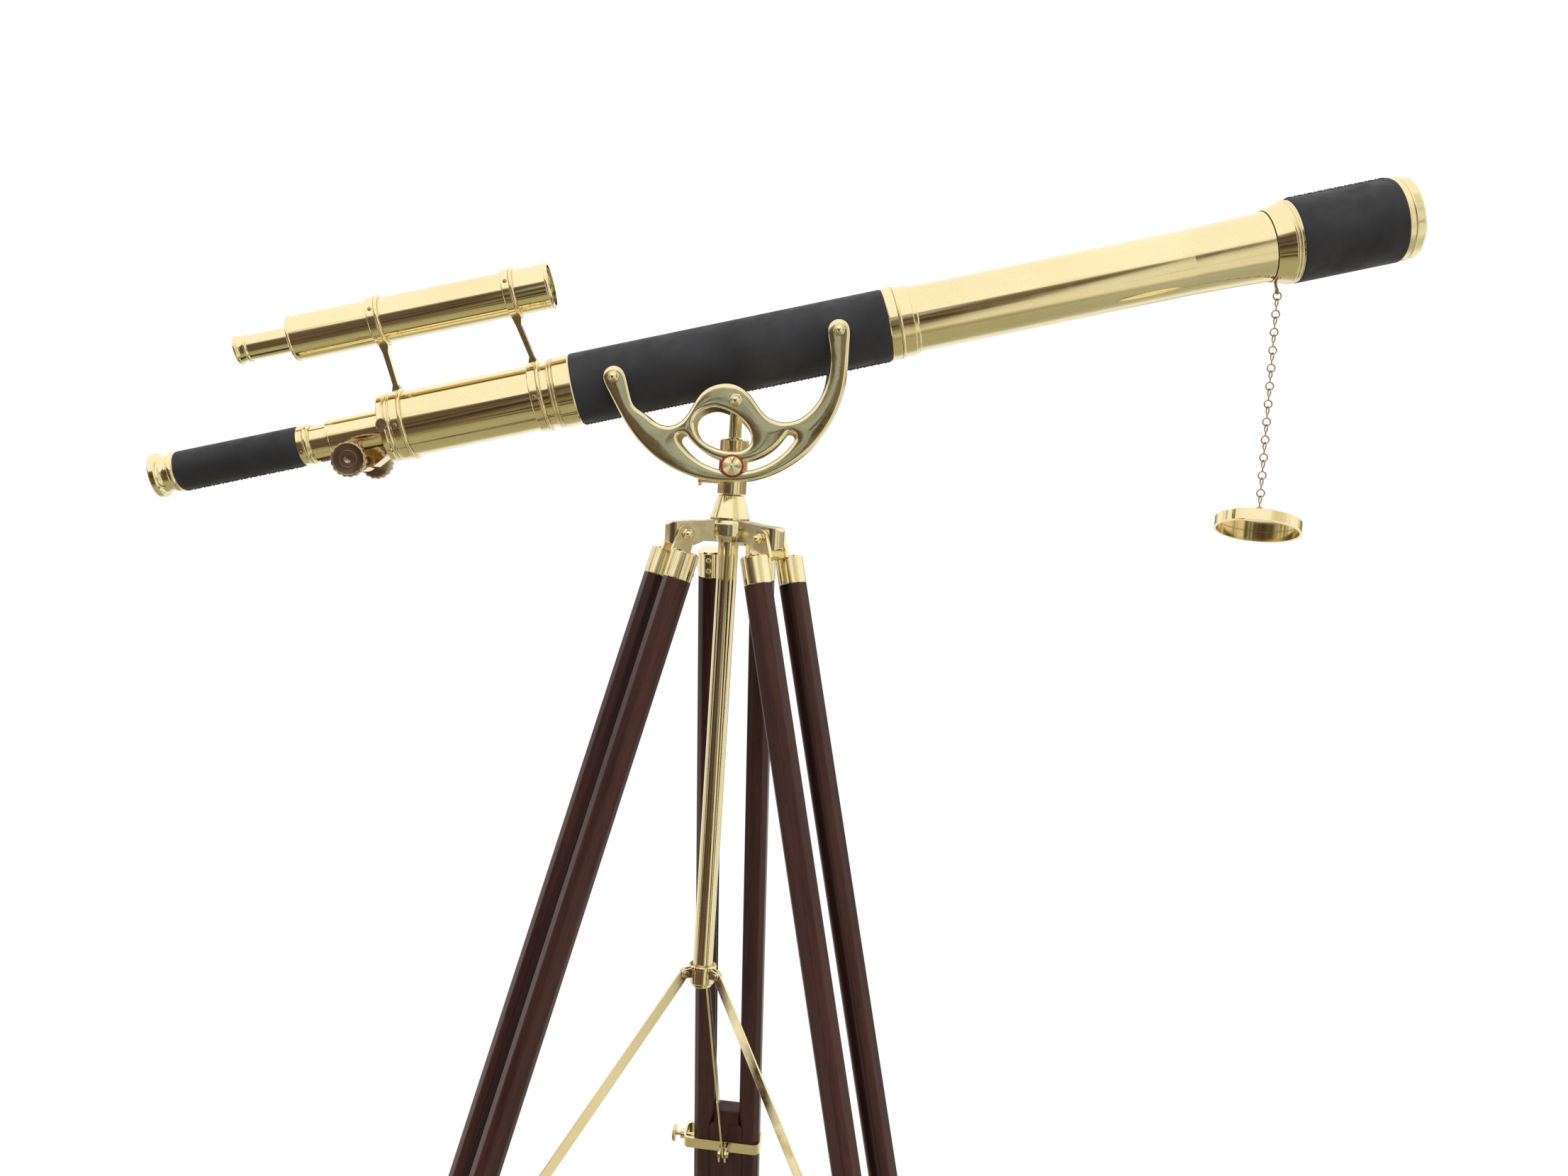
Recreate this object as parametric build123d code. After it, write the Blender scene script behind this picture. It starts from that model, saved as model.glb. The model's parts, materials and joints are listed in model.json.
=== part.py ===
from build123d import *
import os
from math import atan2, cos, degrees, hypot, pi, radians, sin, sqrt, tan

# A brass refracting telescope with a finder, held in a crescent saddle on a folding wooden tripod.
# Millimetres, +Z up. The origin is on the floor on the tripod's axis, and the objective points to +X.
# The telescope is drawn along X about its own axis and then tipped up by ELEVATION about the saddle pivot.

INCH = 25.4

# Stand and saddle pivot
PIVOT_HEIGHT = 1413.5
ELEVATION = 15.3
AXIS_RISE = 36.0

# Main telescope tube, stations measured along the tube from the saddle pivot
TUBE_R = INCH
WALL = 1.5
TUBE_REAR = -262.0
FLARE_START = 365.0
FLARE_END = 427.6
FLARE_R = 27.2
SLEEVE_REAR = -120.6
SLEEVE_FRONT = 126.2
SLEEVE_R = 27.7
RING_R = 28.2

# Dew cap
DEW_R = 31.0
DEW_BORE = 29.6
SEAM_R = 27.9
CONE_R = 31.6
CONE_FRONT = 441.0
DEW_SLEEVE_R = 32.6
DEW_SLEEVE_REAR = 447.3
DEW_SLEEVE_FRONT = 528.6
DEW_FRONT = 541.6
OBJECTIVE_R = 27.0
CELL_REAR = 449.0
CELL_FRONT = 462.0

# Focuser and draw tube
FOCUSER_R = 15.3
FOCUSER_REAR = -315.7
DRAW_R = 13.25
DRAW_BORE = 11.6
DRAW_SLEEVE_R = 15.4
DRAW_SLEEVE_REAR = -436.6
DRAW_SLEEVE_FRONT = -339.5
EYE_END = -455.5
RUNNING_GAP = 0.05

# Rack and pinion
PINION_STATION = -295.5
PINION_DROP = 21.0
PINION_TEETH = 16
GEAR_MODULE = 0.75
PINION_R = PINION_TEETH * GEAR_MODULE / 2
ADDENDUM = 0.7 * GEAR_MODULE
DEDENDUM = 1.0 * GEAR_MODULE
PINION_SHAFT_R = 2.4
KNOB_R = 13.6
KNOB_REACH = 41.0
RACK_WIDTH = 6.0
RACK_PITCH = PINION_DROP - PINION_R
RACK_REAR = -329.4
RACK_FRONT = -246.0
DRAW_FRONT = -215.0

# Finder
FINDER_RISE = 82.3
FINDER_R = 17.35
FINDER_REAR = -328.0
FINDER_FRONT = -122.4
FINDER_DRAW_R = 9.65
FINDER_EYE_END = -372.0

# Chain and lens cap
EYELET_STATION = 431.0
EYELET_DROP = 35.6
EYELET_R = 2.2
EYELET_WIRE = 0.75
JUMP_R = 3.1
LINK_WIRE = 0.5
LINK_LOOP = 3.0
LINK_PITCH = 14.0
LINK_COUNT = 12
WIRE_GAP = 0.1
CAP_R = 32.9
CAP_BORE = DEW_R + 0.35
CAP_TILT = 6.0
CAP_LEAN = 14.0
CAP_BALANCE = 7.2
CAP_EYE_R = 1.9
CAP_EYE_WIRE = 0.6

# Saddle
PLATE_INNER = 29.0
PLATE_THICK = 5.0
CRESCENT_R = 90.8
CRESCENT_RISE = 29.3
HORN_STATION = 87.2
HORN_R = 9.2
HORN_BOLT_R = 2.0
SLOT_R = 50.0
SLOT_WIDTH = 8.0
SLOT_TO_EYE = 67.0
SLOT_TO_OBJECTIVE = 45.0
PLATE_EDGE = 2.0
PIVOT_BOLT_R = 3.0
CLAMP_STUD_R = 3.0
CLAMP_FACE = PLATE_INNER + PLATE_THICK
WASHER_THICK = 1.2

# Head, rod and post
CONE_BOTTOM = 1322.0
CONE_TOP = 1341.5
SOCKET_BOTTOM = 1342.0
SOCKET_TOP = 1385.0
SOCKET_R = 11.2
PAN_SCREW_HEIGHT = 1352.0
SPIGOT_R = 7.0
SPIGOT_TOP = 1356.0
ROD_R = 7.95

# Legs, measured along each leg from its hinge bolt
LEG_AZIMUTHS = {"a": 204.5, "b": -38.5, "c": 82.0}
SPLAY = 15.5
HINGE_R = 40.0
HINGE_HEIGHT = 1310.0
HEAD_BOTTOM = HINGE_HEIGHT - 5.0
POLE_SPACING = 43.0
POLE_WIDTH = 19.0
POLE_DEPTH = 19.5
POLE_CUT = 4.6
FERRULE_TOP = 14.0
POLE_END = 655.0
BAND_AT = 602.0
BAND_HEIGHT = 11.0
BAND_THICK = 1.8
BAND_HALF = POLE_SPACING / 2 + POLE_WIDTH / 2
BAND_GAP = 8.0
BAND_END = BAND_HALF + BAND_GAP + BAND_THICK
BOSS_REACH = 4.0
SLIDER_TOP = 566.0
FLANGE_DROP = 12.0
FOOT_LENGTH = 60.0
FLOOR_AT = HINGE_HEIGHT / cos(radians(SPLAY))
BLOCK_HALF = 8.2
TAB_INNER = BLOCK_HALF + 0.3
TAB_THICK = 3.6
HINGE_BOLT_R = 2.5
FERRULE_R = 10.8
FERRULE_LENGTH = 22.0
TENON_TOP = -FERRULE_TOP - 4
TENON_R = 8.2
GROOVE_WIDTH = 6.6
GROOVE_DEPTH = 3.4
THUMB_SHAFT_R = 2.0

# Spreader
COLLAR_PIN_R = 15.0
COLLAR_PIN_HEIGHT = 960.0
COLLAR_PIN_SIZE = 1.3
CLEVIS_REACH = 20.7
CLEVIS_EAR_R = 8.0
CLEVIS_PIN_R = 1.5
LEG_TILT = radians(SPLAY)
CLEVIS_R = HINGE_R + BAND_AT * sin(LEG_TILT) - CLEVIS_REACH * cos(LEG_TILT)
CLEVIS_HEIGHT = HINGE_HEIGHT - BAND_AT * cos(LEG_TILT) - CLEVIS_REACH * sin(LEG_TILT)
BRACE_WIDTH = 8.0
BRACE_THICK = 1.6
BRACE_SLOT_R = 2.7
BRACE_SLOT_RUN = 6.4
BRACE_LENGTH = hypot(CLEVIS_R - COLLAR_PIN_R, COLLAR_PIN_HEIGHT - CLEVIS_HEIGHT)
BRACE_LEAN = degrees(atan2(CLEVIS_R - COLLAR_PIN_R, COLLAR_PIN_HEIGHT - CLEVIS_HEIGHT))

parts = {}


def turned(*outline, upright=False):
    """Solid of revolution about X, or Z. A point is (station, radius), or an arc's middle and end."""
    def at(station, radius):
        return (radius, 0, station) if upright else (station, 0, radius)

    edges = []
    last = outline[0]
    for step in outline[1:] + (outline[0],):
        end = step[-2:]
        if len(step) == 4:
            edges.append(ThreePointArc(at(*last), at(*step[:2]), at(*end)))
        elif hypot(end[0] - last[0], end[1] - last[1]) > 1e-6:
            edges.append(Line(at(*last), at(*end)))
        last = end
    return revolve(make_face(edges), axis=Axis.Z if upright else Axis.X)


def turned_up(*outline):
    """Solid of revolution about Z, from (height, radius) points."""
    return turned(*outline, upright=True)


def rod_x(radius, start, end):
    """Plain round bar along X."""
    return turned((start, 0), (start, radius), (end, radius), (end, 0))


def rod_y(radius, start, end):
    """Plain round bar along Y."""
    return Rot(0, 0, 90) * rod_x(radius, start, end)


def tube_x(outer, inner, start, end):
    """Plain round tube along X."""
    return turned((start, inner), (start, outer), (end, outer), (end, inner))


def bead(start, end, base, crown):
    """Two outline steps that raise a half-round bead from a turned surface."""
    return (start, base), ((start + end) / 2, crown, end, base)


def prism_y(outline, near, far):
    """Plate in the XZ plane from y = near to y = far. The outline is a closed list of edges."""
    face = make_face(outline)
    return Pos(0, near, 0) * extrude(face, amount=far - near, dir=(0, 1, 0))


def closed_polygon(*points):
    """Edges of a closed polygon in the XZ plane."""
    return Polyline(*[(x, 0, z) for x, z in points], close=True).edges()


def telescope(shape):
    """Moves a shape drawn about the tube's axis to its place above the saddle pivot."""
    return Pos(0, 0, PIVOT_HEIGHT) * Rot(0, -ELEVATION, 0) * Pos(0, 0, AXIS_RISE) * shape


def saddle(shape):
    """Moves a shape drawn about the saddle pivot to its place."""
    return Pos(0, 0, PIVOT_HEIGHT) * Rot(0, -ELEVATION, 0) * shape


def leg(name, shape):
    """Moves a shape drawn down -Z from a leg's hinge, outward to +X, to its place."""
    hinge = Pos(HINGE_R, 0, HINGE_HEIGHT) * Rot(0, -SPLAY, 0)
    return Rot(0, 0, LEG_AZIMUTHS[name]) * hinge * shape


def arm(name, shape):
    """Turns a shape drawn along +X about the tripod's axis to a leg's azimuth."""
    return Rot(0, 0, LEG_AZIMUTHS[name]) * shape


def hexagon(across_flats, height):
    """Hexagonal prism standing on the origin along +Z."""
    return extrude(RegularPolygon(across_flats / 2, 6, major_radius=False), amount=height)


def acorn(across_flats, flats_height, dome_radius):
    """Acorn nut or bolt head standing on the origin along +Z: a hexagon with a domed end."""
    base = flats_height + 0.4
    dome = turned_up((base, 0), (base, dome_radius), (base + 0.7 * dome_radius, 0.72 * dome_radius,
                                                      base + dome_radius, 0))
    collar = turned_up((flats_height, 0), (flats_height, dome_radius + 0.5), (base, dome_radius), (base, 0))
    return hexagon(across_flats, flats_height) + collar + dome


def lens(radius, rear, front, rear_bulge, front_bulge):
    """Round lens along X with spherical faces. A positive bulge swells its face outward."""
    def half_way(bulge):
        sphere = (radius * radius + bulge * bulge) / (2 * abs(bulge))
        drop = sphere - sqrt(sphere * sphere - radius * radius / 4)
        return bulge - (drop if bulge > 0 else -drop)

    rear_face = (rear - half_way(rear_bulge), radius / 2, rear, radius)
    front_face = (front + half_way(front_bulge), radius / 2, front + front_bulge, 0)
    return turned((rear - rear_bulge, 0), rear_face, (front, radius), front_face)


# ---------------------------------------------------------------- main tube and its leather

def bolt_holes(shape):
    """Cuts the holes for the four horn bolts."""
    for station in (-HORN_STATION, HORN_STATION):
        shape = shape - Pos(station, 0, 0) * rod_y(HORN_BOLT_R, -60, 60)
    return shape


def main_tube():
    """Body tube, swelled a little at its front end to meet the dew cap."""
    bore = TUBE_R - WALL
    middle = (FLARE_START + FLARE_END) / 2
    tube = turned((TUBE_REAR, bore), (TUBE_REAR, TUBE_R), (FLARE_START, TUBE_R),
                  (middle, TUBE_R + 0.7, FLARE_END, FLARE_R), (FLARE_END, FLARE_R - WALL),
                  (middle, bore + 0.7, FLARE_START, bore))
    return bolt_holes(tube)


def tube_sleeve():
    """Leather sleeve round the middle of the tube."""
    return bolt_holes(tube_x(SLEEVE_R, TUBE_R, SLEEVE_REAR, SLEEVE_FRONT))


def dew_sleeve():
    """Leather sleeve round the dew cap."""
    return tube_x(DEW_SLEEVE_R, DEW_R, DEW_SLEEVE_REAR, DEW_SLEEVE_FRONT)


def draw_sleeve():
    """Leather sleeve round the eye end of the draw tube."""
    return tube_x(DRAW_SLEEVE_R, DRAW_R, DRAW_SLEEVE_REAR, DRAW_SLEEVE_FRONT)


def sleeve_rings():
    """Rings at the two ends of the tube's leather: flat bands edged with thin raised lines."""
    rear = turned((-139.0, TUBE_R), (-139.0, 26.1), *bead(-138.4, -136.8, 26.2, 27.0),
                  *bead(-136.2, -134.6, 26.4, 27.2), (-134.0, 26.6), (-133.6, 27.3), (-121.6, 27.5),
                  (SLEEVE_REAR, 27.2), (SLEEVE_REAR, TUBE_R))
    front = turned((SLEEVE_FRONT, TUBE_R), (SLEEVE_FRONT, 27.4), (SLEEVE_FRONT + 0.8, RING_R - 0.2),
                   (133.6, RING_R - 0.2), *bead(134.2, 135.8, 27.4, RING_R + 0.1), (136.4, 27.2),
                   (145.0, 27.1), (145.6, 26.3), (148.2, 26.2), (149.0, TUBE_R + 0.2), (149.0, TUBE_R))
    return rear + front


def dew_cap():
    """Conical ring edged with a twin bead, the tube under the leather, and the front lip."""
    lip = DEW_R + 0.7
    return turned((FLARE_END, SEAM_R - 2.0), (FLARE_END, FLARE_R - 0.7), (FLARE_END + 0.7, FLARE_R - 0.7),
                  (FLARE_END + 0.7, SEAM_R), (CONE_FRONT, CONE_R),
                  *bead(441.2, 443.4, CONE_R, CONE_R + 0.7), *bead(443.8, 446.0, CONE_R, CONE_R + 0.7),
                  (446.2, CONE_R + 0.1), (DEW_SLEEVE_REAR, CONE_R + 0.4), (DEW_SLEEVE_REAR, DEW_R),
                  (DEW_SLEEVE_FRONT, DEW_R), (DEW_SLEEVE_FRONT, lip), (532.8, lip + 0.1),
                  *bead(533.0, 534.4, lip, lip + 0.6), (534.6, lip - 0.2), (539.4, lip - 0.4),
                  (DEW_FRONT - 0.5, DEW_R - 0.3, DEW_FRONT, DEW_R - 1.2), (DEW_FRONT, DEW_BORE),
                  (445.0, DEW_BORE))


def objective_cell():
    """Lens cell with a seat behind the lenses, and the threaded ring that holds them in."""
    cell = turned((CELL_REAR, OBJECTIVE_R - 1.6), (CELL_REAR, DEW_BORE), (CELL_FRONT, DEW_BORE),
                  (CELL_FRONT, OBJECTIVE_R), (CELL_REAR + 2, OBJECTIVE_R),
                  (CELL_REAR + 2, OBJECTIVE_R - 1.6))
    ring = tube_x(OBJECTIVE_R, OBJECTIVE_R - 1.8, CELL_FRONT - 2.4, CELL_FRONT)
    return [cell, ring]


def objective_lenses():
    """Flint and crown of the main objective, and the finder's single objective."""
    flint = lens(OBJECTIVE_R, CELL_REAR + 2, CELL_REAR + 5.4, -0.6, -0.9)
    crown = lens(OBJECTIVE_R, CELL_REAR + 5.6, CELL_FRONT - 2.7, 0.8, 1.2)
    finder = Pos(0, 0, FINDER_RISE) * lens(FINDER_R - WALL, FINDER_FRONT - 8, FINDER_FRONT - 5, 0.5, 1.0)
    return [flint, crown, finder]


# ---------------------------------------------------------------- rear cap, focuser and rack

def rack_slot(start, end):
    """Room under the draw tube for the rack to slide."""
    return Pos((start + end) / 2, 0, -14.5) * Box(end - start, RACK_WIDTH + 0.6, 5.0)


def rear_cap():
    """Turned disc that closes the tube and carries the focuser, with a spigot inside the tube."""
    bore = FOCUSER_R
    body = turned((-272.0, bore), (-272.0, 25.6), (-271.2, 26.8), (-267.4, 26.8), (-266.6, 26.1),
                  *bead(-266.2, -263.2, 26.2, 27.0), (TUBE_REAR, 26.0), (TUBE_REAR, TUBE_R - WALL),
                  (-254.0, TUBE_R - WALL), (-254.0, TUBE_R - 2 * WALL), (-266.0, TUBE_R - 2 * WALL),
                  (-268.0, 20.0), (-268.0, bore + 2), (-252.0, bore + 2), (-252.0, bore))
    return body - rack_slot(-280.0, -245.0)


def focuser_tube():
    """Tube that guides the draw tube, with the pinion box brazed under it."""
    bore = DRAW_R + RUNNING_GAP
    guide = turned((FOCUSER_REAR, bore), (FOCUSER_REAR, FOCUSER_R + 0.2),
                   (FOCUSER_REAR + 1.4, FOCUSER_R + 0.2), (FOCUSER_REAR + 1.8, FOCUSER_R),
                   (-246.0, FOCUSER_R), (-246.0, bore))
    box = prism_y(closed_polygon((-310, -13.6), (-305, -27.6), (-286, -27.6), (-275, -22.0), (-272, -16.0),
                                 (-272, -13.6)), -9.5, 9.5)
    box = box - rod_x(FOCUSER_R - 0.4, -330, -240)
    hood = Pos(PINION_STATION, 0, -PINION_DROP) * rod_y(8.2, -9.5, 9.5)
    hollow = Pos(PINION_STATION, 0, -PINION_DROP) * rod_y(7.2, -5.6, 5.6)
    shaft = Pos(PINION_STATION, 0, -PINION_DROP) * rod_y(PINION_SHAFT_R + 2 * RUNNING_GAP, -12, 12)
    body = guide + box + (hood - rod_x(FOCUSER_R - 0.4, -330, -240))
    return body - rack_slot(FOCUSER_REAR - 1, -245.0) - hollow - shaft


def gear_flank(depth):
    """Half width of a tooth at a distance outside the pitch line."""
    return pi * GEAR_MODULE / 4 - depth * tan(radians(20)) - 0.04


def focus_pinion():
    """Pinion cut on its shaft. A tooth gap faces straight up, where a rack tooth enters."""
    root = PINION_R - DEDENDUM
    blank = rod_y(root, -5.2, 5.2) + rod_y(PINION_SHAFT_R, -KNOB_REACH + 4, KNOB_REACH - 4)
    tip = PINION_R + ADDENDUM
    tooth_outline = closed_polygon((gear_flank(-DEDENDUM), root - 0.3), (gear_flank(ADDENDUM), tip),
                                   (-gear_flank(ADDENDUM), tip), (-gear_flank(-DEDENDUM), root - 0.3))
    tooth = prism_y(tooth_outline, -5.2, 5.2)
    for index in range(PINION_TEETH):
        blank = blank + Rot(0, (index + 0.5) * 360 / PINION_TEETH, 0) * tooth
    return Pos(PINION_STATION, 0, -PINION_DROP) * blank


def focus_rack():
    """Toothed strip under the draw tube. A tooth stands over the pinion's axis."""
    root = -RACK_PITCH + DEDENDUM
    tip = -RACK_PITCH - ADDENDUM
    pitch = pi * GEAR_MODULE
    first = int((RACK_REAR - PINION_STATION) / pitch) + 1
    last = int((RACK_FRONT - PINION_STATION) / pitch) - 1
    points = [(RACK_REAR, 2 - DRAW_R), (RACK_REAR, root)]
    for index in range(first, last + 1):
        middle = PINION_STATION + index * pitch
        points += [(middle - gear_flank(-DEDENDUM), root), (middle - gear_flank(ADDENDUM), tip),
                   (middle + gear_flank(ADDENDUM), tip), (middle + gear_flank(-DEDENDUM), root)]
    points += [(RACK_FRONT, root), (RACK_FRONT, 2 - DRAW_R)]
    teeth = prism_y(closed_polygon(*points), -RACK_WIDTH / 2, RACK_WIDTH / 2)
    return teeth - rod_x(DRAW_R, RACK_REAR - 1, RACK_FRONT + 1)


def focus_knobs():
    """Two fluted knobs on the ends of the pinion shaft."""
    knob = turned((-12, 0), (-12, 4.2), (-9, 4.6), (-8.4, KNOB_R - 1.2), (-7.2, KNOB_R), (-1.2, KNOB_R),
                  (-0.3, KNOB_R - 0.4, 0, KNOB_R - 1.4), (-1, KNOB_R - 2.6), (-1, 4.4), (0.2, 3.6), (0.8, 0))
    for index in range(16):
        flute = Pos(-4, 0, KNOB_R + 1.2) * Rot(0, 90, 0) * Cylinder(1.9, 12)
        knob = knob - Rot(index * 360 / 16, 0, 0) * flute
    knob = Pos(KNOB_REACH, 0, 0) * (knob - rod_x(PINION_SHAFT_R, -14, -4))
    centre = Pos(PINION_STATION, 0, -PINION_DROP)
    return [centre * Rot(0, 0, 90) * knob, centre * Rot(0, 0, -90) * knob]


# ---------------------------------------------------------------- draw tube and eyepiece

def draw_tube():
    """Plain tube that slides in the focuser and holds the eyepiece and the erecting lenses."""
    return tube_x(DRAW_R, DRAW_BORE, -446.0, DRAW_FRONT)


def draw_collar():
    """Collar that closes the front end of the draw tube's leather: a flat band, then a round bead."""
    base = DRAW_SLEEVE_R - 1.0
    return turned((DRAW_SLEEVE_FRONT, DRAW_R), (DRAW_SLEEVE_FRONT, base + 0.4), (-339.1, base + 0.8),
                  (-334.8, base + 0.8), *bead(-334.2, -330.2, base + 0.2, base + 1.7),
                  (-329.4, base - 0.2), (-329.4, DRAW_R))


def collar_screw():
    """Small slotted screw that locks the collar to the draw tube."""
    head = turned_up((0, 0), (0, 1.5), (0.5, 1.4), (0.9, 0.9), (1.0, 0))
    head = head - Pos(0, 0, 1.0) * Box(4, 0.4, 0.7)
    return Rot(115, 0, 0) * Pos(-337.0, 0, DRAW_SLEEVE_R - 0.2) * head


def eyepiece_cup():
    """Waisted eyepiece end with a flared rim, a ring against the leather and a small eye hole."""
    return turned((EYE_END, 6.0), (EYE_END, 16.2), (EYE_END + 0.6, 17.1, EYE_END + 1.6, 17.3),
                  (EYE_END + 4.6, 17.3), (EYE_END + 5.6, 16.4), (-447.0, 14.0, -444.0, 13.9), (-442.4, 13.9),
                  *bead(-442.2, -437.0, 14.4, 15.6), (DRAW_SLEEVE_REAR, 14.4), (DRAW_SLEEVE_REAR, DRAW_R),
                  (-446.0, DRAW_R), (-446.0, 8.0), (-452.4, 8.0), (-454.6, 6.0))


def eyepiece_lenses():
    """Eye lens, field lens and the two erecting lenses inside the draw tube."""
    pieces = [lens(8.0, -452.0, -449.6, 0.1, 1.6)]
    for station, bulge in ((-418.0, 1.8), (-350.0, 1.2), (-290.0, 1.2)):
        pieces.append(lens(DRAW_BORE, station, station + 2.4, 0.1, bulge))
    return pieces


# ---------------------------------------------------------------- finder

def finder_tube():
    """Finder body with a rolled front edge and an end plate that guides its eyepiece tube."""
    bore = FINDER_R - WALL
    guide = FINDER_DRAW_R + RUNNING_GAP
    plate = FINDER_REAR + 2
    guide_end = FINDER_REAR + 16
    body = turned((FINDER_REAR, guide), (FINDER_REAR, FINDER_R - 0.6),
                  (FINDER_REAR + 0.9, FINDER_R + 0.5, FINDER_REAR + 2.4, FINDER_R),
                  (FINDER_FRONT - 3.2, FINDER_R),
                  *bead(FINDER_FRONT - 3.0, FINDER_FRONT - 0.6, FINDER_R, FINDER_R + 0.7),
                  (FINDER_FRONT, FINDER_R - 0.3), (FINDER_FRONT, bore), (plate, bore),
                  (plate, guide + 1.4), (guide_end, guide + 1.4), (guide_end, guide))
    return Pos(0, 0, FINDER_RISE) * body


def finder_eyepiece():
    """Finder's sliding tube with its small flared cup and lens seat."""
    bore = FINDER_DRAW_R - 1.2
    body = turned((FINDER_EYE_END, 5.0), (FINDER_EYE_END, 10.4),
                  (FINDER_EYE_END + 0.8, 11.3, FINDER_EYE_END + 2.2, 11.0), (-367.4, 9.9, -364.6, 10.0),
                  *bead(-364.4, -362.2, 10.0, 10.8), (-361.6, FINDER_DRAW_R), (-300.0, FINDER_DRAW_R),
                  (-300.0, bore), (-367.0, bore), (-369.6, 5.0))
    return Pos(0, 0, FINDER_RISE) * body


def finder_ring(radius, thick, rear, front):
    """Band round a tube with a flat middle and a raised lip toward the objective."""
    return turned((rear, radius), (rear, radius + thick - 0.3), (rear + 0.5, radius + thick),
                  (front - 3.0, radius + thick), (front - 2.6, radius + thick - 0.4),
                  *bead(front - 2.4, front, radius + thick - 0.4, radius + thick + 0.9), (front, radius))


def finder_brackets():
    """Each bracket is a band on the main tube, a slim blade post and a ring round the finder."""
    brackets = []
    for clamp, ring in ((-257.4, -259.6), (-149.0, -154.0)):
        band = finder_ring(TUBE_R, 1.6, clamp - 4.6, clamp + 4.6)
        hoop = Pos(0, 0, FINDER_RISE) * finder_ring(FINDER_R, 1.8, ring - 4.4, ring + 4.4)
        low = TUBE_R + 1.0
        high = FINDER_RISE - FINDER_R - 1.2
        blade = prism_y(closed_polygon((clamp - 3.6, low), (clamp - 1.9, low + 5), (ring - 1.9, high - 7),
                                       (ring - 3.8, high), (ring + 3.8, high), (ring + 2.3, high - 7),
                                       (clamp + 1.9, low + 5), (clamp + 3.6, low)), -3.4, 3.4)
        bracket = band + hoop + blade
        bracket = bracket - rod_x(TUBE_R, clamp - 9, clamp + 9)
        brackets.append(bracket - Pos(0, 0, FINDER_RISE) * rod_x(FINDER_R, ring - 9, ring + 9))
    return brackets


def bracket_screws():
    """Small dome screws in the bands and rings, and the large slotted screw in the rear cap."""
    screws = []
    dome = turned_up((0, 0), (0, 1.7), (0.5, 1.6), (1.0, 0.9, 1.2, 0))
    dome = dome - Pos(0, 0, 1.3) * Box(0.4, 4, 0.9)
    for station, rise, radius, turn in ((-260.6, FINDER_RISE, FINDER_R + 1.8, 68),
                                        (-155.0, FINDER_RISE, FINDER_R + 1.8, 68),
                                        (-258.6, 0, TUBE_R + 1.6, 94), (-150.4, 0, TUBE_R + 1.6, 94)):
        seat = rod_x(radius, station - 3, station + 3)
        screws.append(Pos(0, 0, rise) * (Rot(turn, 0, 0) * Pos(station, 0, radius - 0.2) * dome - seat))
    boss = turned_up((0, 0), (0, 4.6), (0.8, 4.6), (1.4, 4.0), (1.4, 0))
    boss = boss - Pos(0, 0, 1.5) * Box(0.9, 12, 1.0)
    screws.append(Rot(88, 0, 0) * Pos(-268.4, 0, 26.4) * boss - rod_x(27.0, -275, -262))
    return screws


# ---------------------------------------------------------------- chain and lens cap

def ring_of_wire(radius, wire):
    """Closed round wire ring lying in the XZ plane about the origin."""
    return Rot(90, 0, 0) * Torus(radius, wire)


def hang_point():
    """World X and Z of the eyelet's lowest wire, where the jump ring hangs."""
    angle = radians(ELEVATION)
    up = AXIS_RISE - EYELET_DROP - EYELET_R
    x = EYELET_STATION * cos(angle) - up * sin(angle)
    return x, PIVOT_HEIGHT + EYELET_STATION * sin(angle) + up * cos(angle)


CHAIN_X, HANG_HEIGHT = hang_point()
JUMP_HEIGHT = HANG_HEIGHT + EYELET_WIRE + LINK_WIRE + WIRE_GAP - JUMP_R
LOOP_OFFSET = LINK_PITCH / 2 - LINK_LOOP + LINK_WIRE + WIRE_GAP / 2
FIRST_LINK = JUMP_HEIGHT - JUMP_R + 2 * LINK_WIRE + WIRE_GAP - LINK_LOOP - LOOP_OFFSET
LAST_LINK = FIRST_LINK - (LINK_COUNT - 1) * LINK_PITCH
CAP_HINGE = LAST_LINK - LOOP_OFFSET - LINK_LOOP
CAP_EYE_HANG = LINK_WIRE + CAP_EYE_WIRE + 2.5 * WIRE_GAP


def chain_eyelet():
    """Eye screwed into the underside of the dew ring; its hole runs along the tube."""
    foot = -EYELET_DROP + EYELET_R
    stem = turned_up((foot, 0), (foot, 1.1), (-SEAM_R, 1.1), (-SEAM_R, 0))
    eye = Pos(0, 0, -EYELET_DROP) * Rot(0, 90, 0) * Torus(EYELET_R, EYELET_WIRE)
    cone = turned((FLARE_END, 0), (FLARE_END, SEAM_R), (CONE_FRONT, CONE_R), (CONE_FRONT, 0))
    return Pos(EYELET_STATION, 0, 0) * (stem + eye) - cone


def jump_ring():
    """Round ring that hangs in the eyelet and carries the chain."""
    return Pos(CHAIN_X, 0, JUMP_HEIGHT) * ring_of_wire(JUMP_R, LINK_WIRE)


def figure_eight():
    """One link: two round loops at right angles joined by a twisted waist."""
    upper = Pos(0, 0, LOOP_OFFSET) * Rot(0, 0, 90) * ring_of_wire(LINK_LOOP, LINK_WIRE)
    lower = Pos(0, 0, -LOOP_OFFSET) * ring_of_wire(LINK_LOOP, LINK_WIRE)
    half = LOOP_OFFSET - LINK_LOOP
    waist = turned_up((-half, 0), (-half, LINK_WIRE), (half, LINK_WIRE), (half, 0))
    return upper + lower + waist


def cap_chain():
    """Chain of figure-eight links hanging plumb from the jump ring."""
    heights = [FIRST_LINK - index * LINK_PITCH for index in range(LINK_COUNT)]
    return [Pos(CHAIN_X, 0, height) * figure_eight() for height in heights]


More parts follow.
